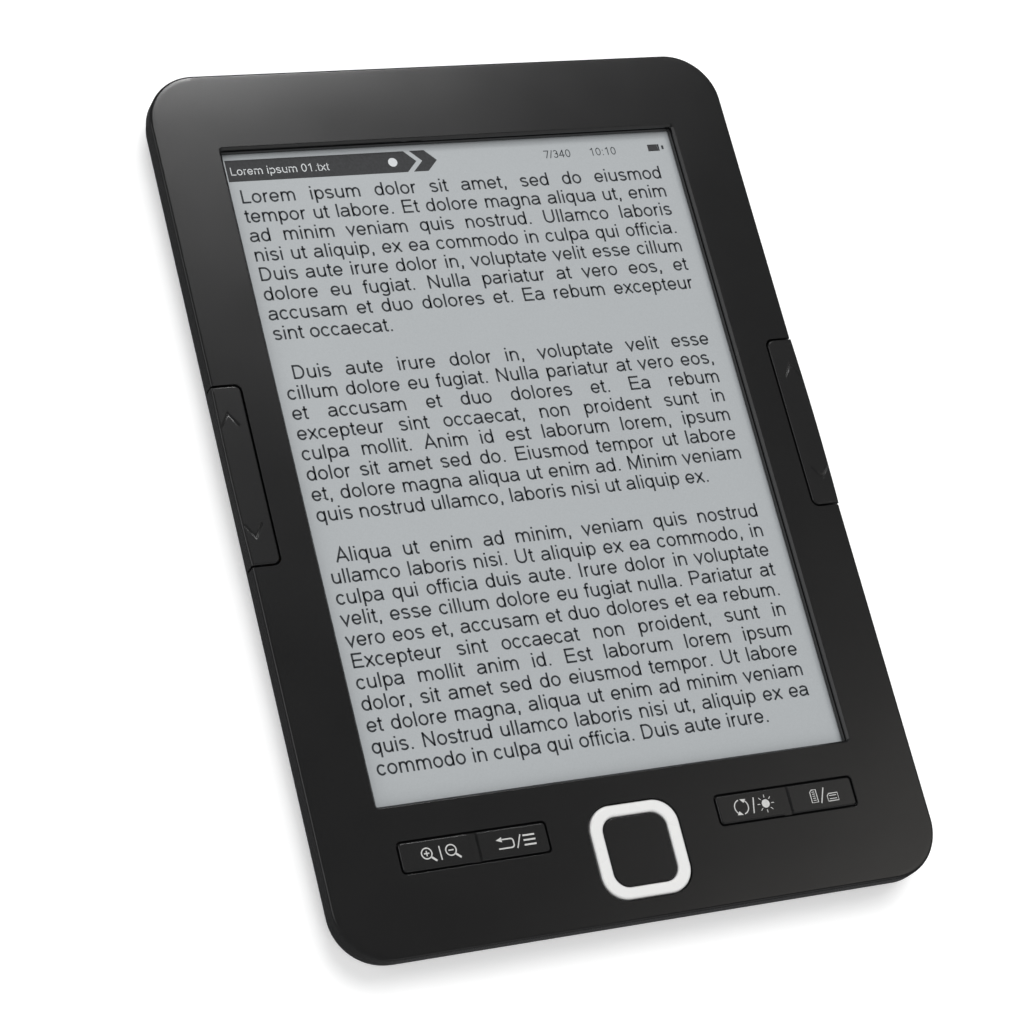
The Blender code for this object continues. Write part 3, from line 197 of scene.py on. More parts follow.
def ribbon(path, thickness):
    """The outline of a strip of the given thickness that follows an open path, mitred at its bends."""
    left, right = [], []
    for index, point in enumerate(path):
        before = path[max(index - 1, 0)]
        after = path[min(index + 1, len(path) - 1)]
        first = Vector((point[0] - before[0], point[1] - before[1]))
        second = Vector((after[0] - point[0], after[1] - point[1]))
        first = first.normalized() if first.length else second.normalized()
        second = second.normalized() if second.length else first
        normal = Vector((-(first.y + second.y), first.x + second.x)).normalized()
        reach = thickness / 2 / max(normal.dot(Vector((-first.y, first.x))), MITRE_LIMIT)
        left.append((point[0] + normal.x * reach, point[1] + normal.y * reach))
        right.append((point[0] - normal.x * reach, point[1] - normal.y * reach))
    return right + left[::-1]


# ---- Solids ----

class Solid:
    """Closed shells gathered in one mesh, which becomes one object."""

    def __init__(self):
        self.mesh = bmesh.new()

    def ring(self, height, points, axis):
        """The corners of an outline at this height along Z, or of (z, x) points along Y."""
        places = [(u, v, height) if axis == "Z" else (v, height, u) for u, v in points]
        return [self.mesh.verts.new(place) for place in places]

    def wall(self, low, high):
        for i in range(len(low)):
            j = (i + 1) % len(low)
            self.mesh.faces.new((low[i], low[j], high[j], high[i]))

    def loft(self, sections, axis="Z"):
        """A closed shell through (height, outline) sections."""
        rings = [self.ring(height, points, axis) for height, points in sections]
        self.mesh.faces.new(rings[0][::-1])
        self.mesh.faces.new(rings[-1])
        for low, high in zip(rings, rings[1:]):
            self.wall(low, high)
        return self

    def tube(self, sections):
        """A ring-shaped shell: its sections run up the outside, over and down the inside."""
        rings = [self.ring(height, points, "Z") for height, points in sections]
        for low, high in zip(rings, rings[1:] + rings[:1]):
            self.wall(low, high)
        return self

    def block(self, low, high):
        outline = rectangle(low, high)
        return self.loft([(low[2], outline), (high[2], outline)])

    def object(self, name):
        data = bpy.data.meshes.new(name)
        self.mesh.to_mesh(data)
        self.mesh.free()
        item = bpy.data.objects.new(name, data)
        bpy.context.scene.collection.objects.link(item)
        return item


def combine(target, operation, solid):
    """Adds the solid to the target's mesh or cuts it away, for good."""
    helper = solid.object("helper")
    modifier = target.modifiers.new(operation, "BOOLEAN")
    modifier.operation = operation
    modifier.solver = "EXACT"
    modifier.object = helper
    bpy.context.view_layer.update()
    graph = bpy.context.evaluated_depsgraph_get()
    mesh = bpy.data.meshes.new_from_object(target.evaluated_get(graph))
    target.modifiers.clear()
    old, target.data = target.data, mesh
    name = old.name
    bpy.data.meshes.remove(old)
    mesh.name = name
    helper_mesh = helper.data
    bpy.data.objects.remove(helper)
    bpy.data.meshes.remove(helper_mesh)


def cut(target, solid):
    combine(target, "DIFFERENCE", solid)


def finish(item, material, body, replaces=(), slot=None, angle=32):
    """Smooth shading, the material, and the CAD body and nodes that the piece goes with."""
    item.data.shade_smooth()
    item.data.set_sharp_from_angle(angle=math.radians(angle))
    weighted = item.modifiers.new("WeightedNormal", "WEIGHTED_NORMAL")
    weighted.keep_sharp = True
    weighted.weight = 80
    item.data.materials.clear()
    item.data.materials.append(material)
    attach(item, body)
    if replaces:
        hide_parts(*replaces)


def quarter(steps):
    """Pairs of 1 - sin and 1 - cos over a quarter turn, from 0 to 90 degrees."""
    for step in range(steps + 1):
        angle = step / steps * math.pi / 2
        yield 1 - math.sin(angle), 1 - math.cos(angle)


def rounding(top, radius, steps=6):
    """(height, inset) pairs that round an outer edge off up to the given top."""
    for drop, inset in quarter(steps):
        yield top - radius * drop, radius * inset


def flare(top, fillet, steps=4):
    """(height, outset) pairs of a cutter whose mouth leaves a filleted edge."""
    yield top - fillet - OVERSHOOT, 0.0
    for drop, outset in quarter(steps):
        yield top - fillet * drop, fillet * outset
    yield top + OVERSHOOT, fillet


# ---- Materials ----

# The values that a noise texture mostly stays between.
NOISE_RANGE = (0.3, 0.7)


class Surface:
    """A Principled material whose colour, roughness and bump come from noise in object space."""

    def __init__(self, name, colour, roughness, **sockets):
        self.material = bpy.data.materials.new(name)
        self.material.use_nodes = True
        self.tree = self.material.node_tree
        self.shader = self.tree.nodes["Principled BSDF"]
        self.colour = colour
        self.roughness = roughness
        self.place = self.add("TexCoord").outputs["Object"]
        self.fill(self.shader, Base_Color=(*colour, 1.0), Roughness=roughness, **sockets)

    def fill(self, node, **sockets):
        """Gives each input its value, or links it where that is another socket."""
        for name, value in sockets.items():
            target = node.inputs[name.replace("_", " ")]
            if isinstance(value, bpy.types.NodeSocket):
                self.tree.links.new(value, target)
            else:
                target.default_value = value
        return node

    def add(self, kind, **sockets):
        return self.fill(self.tree.nodes.new(f"ShaderNode{kind}"), **sockets)

    def noise(self, size, detail=3.0, stretch=None, seed=0.0):
        """Noise whose features are about this size, in metres."""
        place = self.place
        if stretch:
            place = self.add("Mapping", Vector=place, Scale=stretch).outputs["Vector"]
        node = self.add("TexNoise")
        node.noise_dimensions = "4D"
        return self.fill(node, Vector=place, W=seed, Scale=1 / size, Detail=detail).outputs["Fac"]

    def remap(self, source, low, high, to_low=0.0, to_high=1.0):
        levels = {"From_Min": low, "From_Max": high, "To_Min": to_low, "To_Max": to_high}
        return self.add("MapRange", Value=source, **levels).outputs["Result"]

    def math(self, operation, *terms):
        """Arithmetic on two terms. Both inputs of the node share one name, so they go by order."""
        node = self.add("Math")
        node.operation = operation
        for socket, term in zip(node.inputs, terms):
            if isinstance(term, float):
                socket.default_value = term
            else:
                self.tree.links.new(term, socket)
        return node.outputs["Value"]

    def mix(self, first, second, factor):
        """Makes the base colour a mix of the first and the second colour."""
        node = self.add("Mix")
        node.data_type = "RGBA"
        self.fill(node, A=first, B=(*second, 1.0), Factor=factor)
        self.fill(self.shader, Base_Color=node.outputs["Result"])
        return self

    def tint(self, factor, colour):
        """Mixes this colour over what the base colour is so far, by the factor."""
        return self.mix(self.shader.inputs["Base Color"].links[0].from_socket, colour, factor)

    def mottle(self, size, amount, seed=1.0):
        """Lighter and darker patches of about this size."""
        light = [min(1.0, c * (1 + amount)) for c in self.colour]
        dark = [c * (1 - amount) for c in self.colour]
        return self.mix((*dark, 1.0), light, self.remap(self.noise(size, seed=seed), *NOISE_RANGE))

    def smudge(self, size, spread, seed=2.0):
        """Roughness that wanders by spread either way over patches of this size."""
        low, high = self.roughness - spread, self.roughness + spread
        value = self.remap(self.noise(size, seed=seed), *NOISE_RANGE, low, high)
        self.fill(self.shader, Roughness=value)
        return self

    def grain(self, size, depth, seed=3.0, stretch=None, detail=2.0):
        """Bumps of about this size and depth."""
        height = self.noise(size, detail, stretch, seed)
        node = self.add("Bump", Strength=1.0, Distance=depth, Height=height)
        self.fill(self.shader, Normal=node.outputs["Normal"])
        return self

    def paler_tilted_faces(self, colour, strength, size=2 * MM):
        """A lighter tone where the surface turns a corner, broken up by noise."""
        # Paler where the surface tilts about 45 degrees from the face, on outer roundings and recessed
        # chamfers alike, broken up by noise
        split = self.add("SeparateXYZ", Vector=self.add("TexCoord").outputs["Normal"])
        squared = self.math("MULTIPLY", split.outputs["Z"], split.outputs["Z"])
        turn = self.math("MULTIPLY", squared, self.math("SUBTRACT", 1.0, squared))
        most_turn = 0.25
        tilt_tone = self.math("MULTIPLY", turn, strength / most_turn)
        patchy = self.remap(self.noise(size, seed=5.0), low=0.35, high=0.7, to_low=0.3)
        return self.tint(self.math("MULTIPLY", tilt_tone, patchy), colour)

    def specks(self, spacing, radius, colour, core=0.6, keep=0.75, soft=0.01):
        """Dust: tiny light dots, far apart."""
        cells = self.add("TexVoronoi", Scale=1 / spacing, Vector=self.place)
        dot = self.remap(cells.outputs["Distance"], radius / spacing, core * radius / spacing)
        split = self.add("SeparateColor", Color=cells.outputs["Color"])
        kept = self.remap(split.outputs["Red"], keep, keep + soft)
        return self.tint(self.math("MULTIPLY", dot, kept), colour)


def plastic(name, colour, roughness, grain=0.35 * MM, depth=0.0006 * MM):
    """Satin moulded plastic: spark-eroded grain, faint handling marks, paler edges, dust."""
    made = Surface(name, colour, roughness, IOR=1.5)
    made.mottle(size=14 * MM, amount=0.08).smudge(size=22 * MM, spread=0.015).grain(grain, depth)
    paler, lift = 2.2, 0.004
    # A paler tone on every tilted edge and chamfer, set by the surface's tilt alone
    made.paler_tilted_faces(colour=[c * paler + lift for c in colour], strength=0.5)
    made.specks(spacing=19 * MM, radius=0.16 * MM, colour=(0.30, 0.30, 0.29))
    return made.material


def textured(name, colour, roughness, mottle, smudge=None, grain=None, bumps=None, **sockets):
    """A material with patches of tone (size and share), smudges (size and change of roughness) and
    grain (size and depth), sizes and depths in millimetres. bumps says more about the grain."""
    made = Surface(name, colour, roughness, **sockets)
    made.mottle(mottle[0] * MM, mottle[1])
    if smudge:
        made.smudge(smudge[0] * MM, smudge[1])
    if grain:
        made.grain(grain[0] * MM, grain[1] * MM, **(bumps or {}))
    return made.material


def build_materials():
    """The materials, by the names that the script has for them."""
    return {
        "case": plastic("case_plastic", (0.0078, 0.0078, 0.0079), 0.215),
        "rear": plastic("rear_plastic", (0.0078, 0.0078, 0.0080), 0.36, depth=0.0025 * MM),
        "key": plastic("key_plastic", (0.0100, 0.0100, 0.0101), 0.225),
        "ok": plastic("ok_plastic", (0.0080, 0.0080, 0.0081), 0.23),
        "ring": textured(
            "ring_plastic", (0.75, 0.75, 0.74), 0.30, (6, 0.015), (8, 0.05), (0.5, 0.0008), IOR=1.49
        ),
        "print": textured("symbol_print", (0.55, 0.55, 0.54), 0.55, (0.5, 0.10), grain=(0.15, 0.002)),
        "page": textured(
            "electronic_paper", (0.385, 0.406, 0.418), 0.50, (0.22, 0.035), (15, 0.04), (0.18, 0.0015),
            Coat_Weight=0.25, Coat_Roughness=0.35,
        ),
        "ink": textured("page_ink", (0.020, 0.024, 0.028), 0.55, (0.3, 0.20), grain=(0.18, 0.001)),
        "bar": textured("page_dark", (0.030, 0.031, 0.033), 0.55, (0.45, 0.22), grain=(0.18, 0.001)),
        "white": textured("page_white", (0.62, 0.64, 0.65), 0.55, (0.3, 0.04), grain=(0.18, 0.001)),
        "steel": textured(
            "plated_steel", (0.60, 0.59, 0.57), 0.28, (1.5, 0.06), (0.8, 0.08), (0.2, 0.002),
            bumps={"stretch": (1.0, 6.0, 6.0)}, Metallic=1.0,
        ),
        "gold": textured(
            "gold_contact", (0.85, 0.60, 0.25), 0.25, (0.4, 0.08), grain=(0.1, 0.001), Metallic=1.0
        ),
        "frame": textured(
            "cast_frame", (0.42, 0.43, 0.44), 0.42, (5, 0.06), (4, 0.08), (0.3, 0.004), Metallic=0.9
        ),
        "board": textured(
            "solder_mask", (0.012, 0.10, 0.045), 0.32, (1.2, 0.25), grain=(0.7, 0.02), bumps={"detail": 0.0}
        ),
        "chip": textured("chip_resin", (0.022, 0.022, 0.024), 0.55, (2, 0.10), grain=(0.12, 0.004)),
        "connector": textured("connector_resin", (0.62, 0.58, 0.46), 0.45, (2, 0.05), grain=(0.15, 0.002)),
        "flex": textured(
            "polyimide", (0.40, 0.15, 0.02), 0.30, (1, 0.12), grain=(0.5, 0.006),
            bumps={"stretch": (1.0, 0.1, 1.0)}, Coat_Weight=0.4,
        ),
        "foil": textured(
            "pouch_foil", (0.55, 0.56, 0.57), 0.36, (8, 0.05), (5, 0.08), (3, 0.03), Metallic=0.8
        ),
        "foam": textured("foam_strip", (0.012, 0.012, 0.012), 0.95, (0.6, 0.25), grain=(0.25, 0.02)),
        "rubber": textured("silicone_pad", (0.30, 0.31, 0.32), 0.62, (3, 0.05), grain=(0.3, 0.003)),
        "glass": textured("backplane_glass", (0.20, 0.25, 0.25), 0.08, (10, 0.05), (9, 0.03)),
        "red": textured("lead_red", (0.42, 0.015, 0.012), 0.42, (1, 0.10), grain=(0.2, 0.003)),
        "black": textured("lead_black", (0.015, 0.015, 0.015), 0.42, (1, 0.10), grain=(0.2, 0.003)),
    }


# The CAD nodes that stay, by material. The others are plated steel.
INNER_NODES = {
    "page": ("display_cover_film", "ink_film"),
    "glass": ("front_light_guide", "display_backplane"),
    "foam": ("window_gasket", "battery_adhesive"),
    "foil": ("battery_cell",),
    "connector": ("battery_connector", "display_connector"),
    "red": ("battery_lead_red",),
    "black": ("battery_lead_black",),
    "frame": ("mid_frame",),
    "rubber": ("nav_pad",),
    "board": ("battery_circuit", "main_board", "page_board_left", "page_board_right"),
    "chip": (
        "usb_tongue", "display_driver_chip", "processor", "memory_chip", "storage_chip", "power_chip",
    ),
    "flex": ("page_flex_left", "page_flex_right", "display_flex", "front_light_strip"),
}


def dress_inner_nodes(materials):
    """Gives each CAD node that stays its own detailed material."""
    kinds = {name: kind for kind, names in INNER_NODES.items() for name in names}
    for name, node in NODES.items():
        node.data.materials.clear()
        node.data.materials.append(materials[kinds.get(name, "steel")])
        node.data.shade_smooth()
        node.data.set_sharp_from_angle(angle=math.radians(30))


# ---- Case ----


def page_key_plan(shrink, reach, bulge, steps=24):
    """The right page key seen from the front. shrink draws its ends and inner side in,
    reach moves its outer side out and bulge crowns it."""
    half = PAGE_KEY_LENGTH / 2 - shrink
    inside = PAGE_KEY_INSIDE + shrink
    outside = CASE_WIDTH / 2 + reach
    radius = PAGE_KEY_CORNER - shrink
    middle = PAGE_KEY_CENTRE_Y
    points = []
    for step in range(steps + 1):
        t = 2 * step / steps - 1
        points.append((outside + bulge * (1 - t * t), middle + half * t))
    points += arc((inside + radius, middle + half - radius), radius, 90, 180)
    points += arc((inside + radius, middle - half + radius), radius, 180, 270)
    return points


def window_sections():
    """The opening, from below the screen up: a plain wall, a shadow groove, a second step of wall
    and a small chamfer whose edges are just broken."""
    wall_inset = WINDOW_CHAMFER + WINDOW_DRAFT
    groove_low = SCREEN_TOP + 1.15 * MM
    groove_high = groove_low + 0.45 * MM
    groove_inset = wall_inset - 0.35 * MM
    soft = 0.03 * MM
    foot = CASE_TOP - WINDOW_CHAMFER
    sections = [
        (SCREEN_TOP - OVERSHOOT, wall_inset),
        (groove_low - 2 * soft, wall_inset),
        (groove_low, wall_inset - 2 * soft),
        (groove_low, groove_inset),
        (groove_high, groove_inset),
        (groove_high, WINDOW_CHAMFER + soft),
        (foot - soft, WINDOW_CHAMFER),
        (foot + soft, WINDOW_CHAMFER - 2 * soft),
        (CASE_TOP - 1.2 * soft, soft),
        (CASE_TOP - 0.3 * soft, -soft),
        (CASE_TOP, -3 * soft),
        (CASE_TOP + OVERSHOOT, -3 * soft),
    ]
    return [(height, window_outline(inset)) for height, inset in sections]


def ring_outline(extra):
    return grown(RING_WIDTH, RING_HEIGHT, RING_CORNER, (0.0, NAV_Y), extra, steps=16)


def function_outline(side, extra):
    centre = (side * FUNCTION_KEY_X, FUNCTION_KEY_Y)
    return grown(FUNCTION_KEY_LENGTH, FUNCTION_KEY_WIDTH, FUNCTION_KEY_CORNER, centre, extra, steps=6)


def build_bezel(materials):
    lower_fillet = 0.15 * MM
    levels = [(PARTING_LINE - height, inset) for height, inset in rounding(0.0, lower_fillet, steps=3)]
    levels = levels[::-1] + list(rounding(CASE_TOP - CROWN_DROP, EDGE_RADIUS, steps=10))
    for step in range(1, CROWN_STEPS + 1):
        t = step / CROWN_STEPS
        inset = EDGE_RADIUS + (CROWN_WIDTH - EDGE_RADIUS) * t
        levels.append((CASE_TOP - CROWN_DROP * (1 - t) ** 2, inset))
    bezel = Solid().loft([(z, case_outline(inset)) for z, inset in levels]).object("bezel_shell")

    cavity = case_outline(WALL)
    cut(bezel, Solid().loft([(PARTING_LINE - OVERSHOOT, cavity), (PLATE_UNDERSIDE, cavity)]))
    rim_reach, rim_low, rim_high = 0.7 * MM, SCREEN_TOP + 0.25 * MM, PLATE_UNDERSIDE + 0.3 * MM
    rim = window_outline(-rim_reach)
    combine(bezel, "UNION", Solid().loft([(rim_low, rim), (rim_high, rim)]))
    cut(bezel, Solid().loft(window_sections()))

    mouth = list(flare(CASE_TOP, SLOT_FILLET))
    slots = Solid()
    for side in (-1, 1):
        slots.loft([(z, function_outline(side, FUNCTION_KEY_GAP + outset)) for z, outset in mouth])
    slots.loft([(z, ring_outline(RING_GAP + outset)) for z, outset in mouth])
    cut(bezel, slots)

    notches = Solid()
    mouth[0] = (PARTING_LINE - OVERSHOOT, 0.0)
    for side in (-1, 1):
        plans = [(z, page_key_plan(-PAGE_KEY_GAP - outset, 2 * WALL, 0.0)) for z, outset in mouth]
        notches.loft([(z, facing(side, plan)) for z, plan in plans])
    cut(bezel, notches)
    finish(bezel, materials["case"], "case", ["front_bezel"], "front_bezel")


def socket_openings(edge):
    """Cutters for the sockets and the power button in the lower edge, each wider at its mouth."""
    corner, widening, recess, slope = 0.5 * MM, 1.0 * MM, 0.2 * MM, 0.9 * MM
    openings = Solid()
    for node, clearance, less in (
        ("usb_receptacle", SOCKET_CLEARANCE, 0.0),
        ("card_slot", SOCKET_CLEARANCE, 0.0),
        ("power_button", POWER_CLEARANCE, POWER_FLANGES),
    ):
        start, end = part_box(node)
        width = end.x - start.x + 2 * clearance - less
        tall = end.z - start.z + 2 * clearance
        middle = ((start.z + end.z) / 2, (start.x + end.x) / 2)
        mouth = rounded(tall, width, corner, middle, steps=5)
        wide = rounded(tall + widening, width + widening, 2 * corner, middle, steps=5)
        face = edge + recess
        openings.loft(
            [(edge - OVERSHOOT, wide), (face, wide), (face + slope, mouth), (OPENINGS_END, mouth)], axis="Y"
        )
    return openings


def build_rear(materials):
    low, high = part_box("rear_cover")
    sections = []
    for rise, inset in reversed(list(quarter(steps=20))):
        sections.append((REAR_TOP * rise, case_outline(REAR_STEP + REAR_CURVE * inset)))
    sections += [(REAR_TOP, case_outline(LIP_OUTSIDE)), (high.z, case_outline(LIP_OUTSIDE))]
    cover = Solid().loft(sections).object("rear_shell")

    floor, shoulder = 1.2 * MM, 5.2 * MM
    curve = REAR_STEP + REAR_CURVE - LIP_INSIDE
    cavity = []
    for rise, inset in reversed(list(quarter(steps=10))):
        cavity.append((floor + (shoulder - floor) * rise, case_outline(LIP_INSIDE + curve * inset)))
    cavity.append((high.z + OVERSHOOT, case_outline(LIP_INSIDE)))
    cut(cover, Solid().loft(cavity))

    openings = socket_openings(low.y)
    key_half = PAGE_KEY_LENGTH / 2 + OVERSHOOT
    for side in (-1, 1):
        near = CASE_WIDTH / 2 - LIP_INSIDE - OVERSHOOT
        far = CASE_WIDTH / 2 - LIP_OUTSIDE + LIP_CLEARANCE
        left, right = sorted((side * near, side * far))
        openings.block(
            (left, PAGE_KEY_CENTRE_Y - key_half, REAR_TOP - LIP_CLEARANCE / 2),
            (right, PAGE_KEY_CENTRE_Y + key_half, high.z + OVERSHOOT),
        )
    cut(cover, openings)
    finish(cover, materials["rear"], "case", ["rear_cover"], "rear_cover")


# ---- Keys ----


def chevron_path(up):
    apex_y = PAGE_KEY_CENTRE_Y + up * CHEVRON_APEX
    foot_y = apex_y - up * CHEVRON_RISE
    half = CHEVRON_HALF_WIDTH
    return [(CHEVRON_X - half, foot_y), (CHEVRON_X, apex_y), (CHEVRON_X + half, foot_y)]


def build_page_keys(materials):
    for side, name in ((-1, "page_key_left"), (1, "page_key_right")):
        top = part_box(name)[1].z
        middle = PAGE_KEY_CENTRE_Y
        sections = [(PAGE_KEY_BOTTOM, facing(side, page_key_plan(0.0, 0.0, PAGE_KEY_BULGE)))]
        fillet = 0.3 * MM
        for height, inset in rounding(top, EDGE_RADIUS, steps=12):
            rise = max(0.0, 1 - (top - height) / fillet)
            shrink = fillet * (1 - math.sqrt(max(0.0, 1 - rise * rise)))
            plan = page_key_plan(shrink, PAGE_KEY_PROUD - inset, PAGE_KEY_BULGE)
            sections.append((height, facing(side, plan)))
        key = Solid().loft(sections).object(f"{name}_cap")

        outer_wall = CASE_WIDTH / 2 + PAGE_KEY_PROUD - PAGE_KEY_SKIN
        half = PAGE_KEY_LENGTH / 2 + OVERSHOOT
        under = rectangle((PAGE_KEY_INSIDE - OVERSHOOT, middle - half), (outer_wall, middle + half))
        levels = (PAGE_KEY_BOTTOM - OVERSHOOT, top - PAGE_KEY_SKIN)
        cut(key, Solid().loft([(z, facing(side, under)) for z in levels]))
        grooves = Solid()
        levels = [(top - depth * MM, width * MM) for depth, width in CHEVRON_GROOVE]
        for up in (-1, 1):
            path = chevron_path(up)
            grooves.loft([(z, facing(side, turned(ribbon(path, width)))) for z, width in levels])
        cut(key, grooves)
        finish(key, materials["key"], name, [name], name)


def turned(points):
    """The outline, anticlockwise whichever way it was given."""
    area = 0.0
    for (x0, y0), (x1, y1) in zip(points, points[1:] + points[:1]):
        area += x0 * y1 - x1 * y0
    return points if area > 0 else points[::-1]


def cap_sections(outline, top, radius, bottom=0.0, steps=8):
    """Sections of a cap, flanged unless its bottom is above the flange. outline(extra) gives its
    plan, grown by extra."""
    flange = outline(FLANGE_REACH)
    sections = [(FLANGE_LOW, flange), (FLANGE_TOP, flange), (FLANGE_TOP, outline(0.0))]
    if bottom > FLANGE_LOW:
        sections = [(bottom, outline(0.0))]
    return sections + [(height, outline(-inset)) for height, inset in rounding(top, radius, steps)]


def build_function_keys(materials):
    for side, name in ((-1, "function_key_left"), (1, "function_key_right")):
        top = FUNCTION_KEY_TOP

        def outline(extra, side=side):
            return function_outline(side, extra)

        edge = 0.3 * MM
        key = Solid().loft(cap_sections(outline, top, edge)).object(f"{name}_cap")
        centre = side * FUNCTION_KEY_X
        profile = [
            (top - GROOVE_DEPTH, centre - GROOVE_HALF),
            (top + OVERSHOOT, centre - GROOVE_HALF),
            (top + OVERSHOOT, centre + GROOVE_HALF + GROOVE_LEAN * OVERSHOOT),
            (top - GROOVE_DEPTH, centre + GROOVE_HALF - GROOVE_LEAN * GROOVE_DEPTH),
        ]
        ends = (FUNCTION_KEY_Y - FUNCTION_KEY_WIDTH, FUNCTION_KEY_Y + FUNCTION_KEY_WIDTH)
        cut(key, Solid().loft([(y, turned(profile)) for y in ends], axis="Y"))
        finish(key, materials["key"], name, [name], name)


def build_navigation(materials):
    def hole(extra):
        return grown(RING_HOLE_WIDTH, RING_HOLE_HEIGHT, RING_HOLE_CORNER, (0.0, NAV_Y), extra, steps=16)

    edge = 0.45 * MM
    sections = cap_sections(ring_outline, RING_TOP, edge, steps=10)
    for height, outset in reversed(list(rounding(RING_TOP, edge, steps=10))):
        sections.append((height, hole(outset)))
    sections.append((FLANGE_LOW, hole(0.0)))
    ring = Solid().tube(sections).object("nav_ring_cap")
    finish(ring, materials["ring"], "nav_ring", ["nav_ring"], "nav_ring")

    def plan(extra):
        return hole(extra - OK_GAP)

    ok_edge = 0.15 * MM
    sections = cap_sections(plan, OK_TOP, ok_edge, OK_BOTTOM)
    button = Solid().loft(sections).object("ok_cap")
    finish(button, materials["ok"], "ok_button", ["ok_button"], "ok_button")


def build_power_button(materials):
    low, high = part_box("power_button")
    middle = ((low.z + high.z) / 2, (low.x + high.x) / 2)
    tall, width = high.z - low.z, high.x - low.x - POWER_FLANGES
    corner, fillet = 0.6 * MM, 0.25 * MM
    sections = []
    for height, inset in reversed(list(rounding(0.0, fillet))):
        sections.append((low.y - height, grown(tall, width, corner, middle, -inset)))
    sections.append((high.y, grown(tall, width, corner, middle, 0.0)))
    button = Solid().loft(sections, axis="Y").object("power_cap")
    pitch, rib_half, rib_depth, rib_end = 0.8 * MM, 0.12 * MM, 0.12 * MM, 0.3 * MM
    ribs = Solid()
    for rib in range(-2, 3):
        x = middle[1] + rib * pitch
        ribs.block(
            (x - rib_half, low.y - OVERSHOOT, low.z + rib_end),
            (x + rib_half, low.y + rib_depth, high.z - rib_end),
        )
    cut(button, ribs)
    finish(button, materials["key"], "power_button", ["power_button"], "power_button")


# ---- Sockets ----


def contact_row(box, count, pitch, half, starts, ends, bottom, top):
    """Contacts side by side in a socket. starts and ends are how far in from the front of the box
    they run, and bottom and top are levels above its underside."""
    low, high = box
    contacts = Solid()
    for index in range(count):
        x = (low.x + high.x) / 2 + (index - (count - 1) / 2) * pitch
        contacts.block((x - half, low.y + starts, low.z + bottom), (x + half, low.y + ends, low.z + top))
    return contacts


def build_sockets(materials):
    low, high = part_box("usb_receptacle")
    wall, taper, soft, bevel, waist_share = 0.3 * MM, 0.9 * MM, 0.35 * MM, 0.14 * MM, 0.45
    waist = low.z + (high.z - low.z) * waist_share
    centre = (low.x + high.x) / 2

    def profile(inset):
        """A shape that is full above its waist and tapers to a narrower foot."""
        half = (high.x - low.x) / 2 - inset
        bottom, top = low.z + inset, high.z - inset
        side = [
            (bottom, half - taper - soft),
            (bottom + bevel, half - taper),
            (waist, half),
            (top - soft, half),
            (top, half - soft),
        ]
        return turned([(z, centre - x) for z, x in side] + [(z, centre + x) for z, x in side[::-1]])

    mouth = 0.12 * MM
    sections = [
        (high.y, profile(0.0)),
        (low.y + mouth, profile(0.0)),
        (low.y, profile(mouth / 2)),
        (low.y, profile(wall - mouth / 2)),
        (low.y + mouth, profile(wall)),
        (high.y - wall, profile(wall)),
    ]
    shell = Solid().loft(sections[::-1], axis="Y").object("usb_shell")
    finish(shell, materials["steel"], "case", ["usb_receptacle"], "usb_receptacle")

    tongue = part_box("usb_tongue")
    contacts = contact_row(
        tongue, count=5, pitch=0.65 * MM, half=0.18 * MM, starts=0.15 * MM, ends=tongue[1].y - tongue[0].y,
        bottom=-0.05 * MM, top=0.1 * MM,
    )
    finish(contacts.object("usb_contacts"), materials["gold"], "case")
    contacts = contact_row(
        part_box("card_slot"), count=8, pitch=1.1 * MM, half=0.3 * MM, starts=3.0 * MM, ends=8.0 * MM,
        bottom=0.26 * MM, top=0.36 * MM,
    )
    finish(contacts.object("card_contacts"), materials["gold"], "case")


# ---- What the page shows ----


def printed(solid, name, material, body):
    item = solid.object(name)
    item.data.materials.append(material)
    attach(item, body)


# The letters are strokes of one thickness, drawn in units of the type size.
STROKE_SHARE = 0.092
X_TOP = 0.519
CAP_TOP = 0.716
TAIL = -0.2
LINE_LOW = 0.036
LINE_HIGH = X_TOP - LINE_LOW
MIDDLE = X_TOP / 2
BOWL_TALL = MIDDLE - LINE_LOW
BOWL_WIDE = 0.185
STEM_LEFT = 0.108
STEM_RIGHT = 0.45
ARCH_TALL = 0.165
ARCH_BASE = LINE_HIGH - ARCH_TALL
WORD_GAP = 0.278


def bend(x, y, wide, tall, start, end, steps=12):
    """Points along part of an ellipse, from start to end in degrees."""
    return [(x + wide * u, y + tall * v) for u, v in arc((0.0, 0.0), 1.0, start, end, steps)]


def bowl(x, wide=BOWL_WIDE, y=MIDDLE, tall=BOWL_TALL):
    return bend(x, y, wide, tall, 0, 360, 22)


def stem(x, low=0.0, high=X_TOP):
    return [(x, low), (x, high)]


def post(x):
    return stem(x, high=CAP_TOP)


def arch(left, right, foot=0.0):
    middle, half = (left + right) / 2, (right - left) / 2
    return bend(middle, ARCH_BASE, half, ARCH_TALL, 180, 0, 10) + [(right, foot)]


def bar(left, right, y):
    return [(left, y), (right, y)]


def dot(x, y):
    half = STROKE_SHARE / 2
    return [(x, y - half), (x, y + half)]


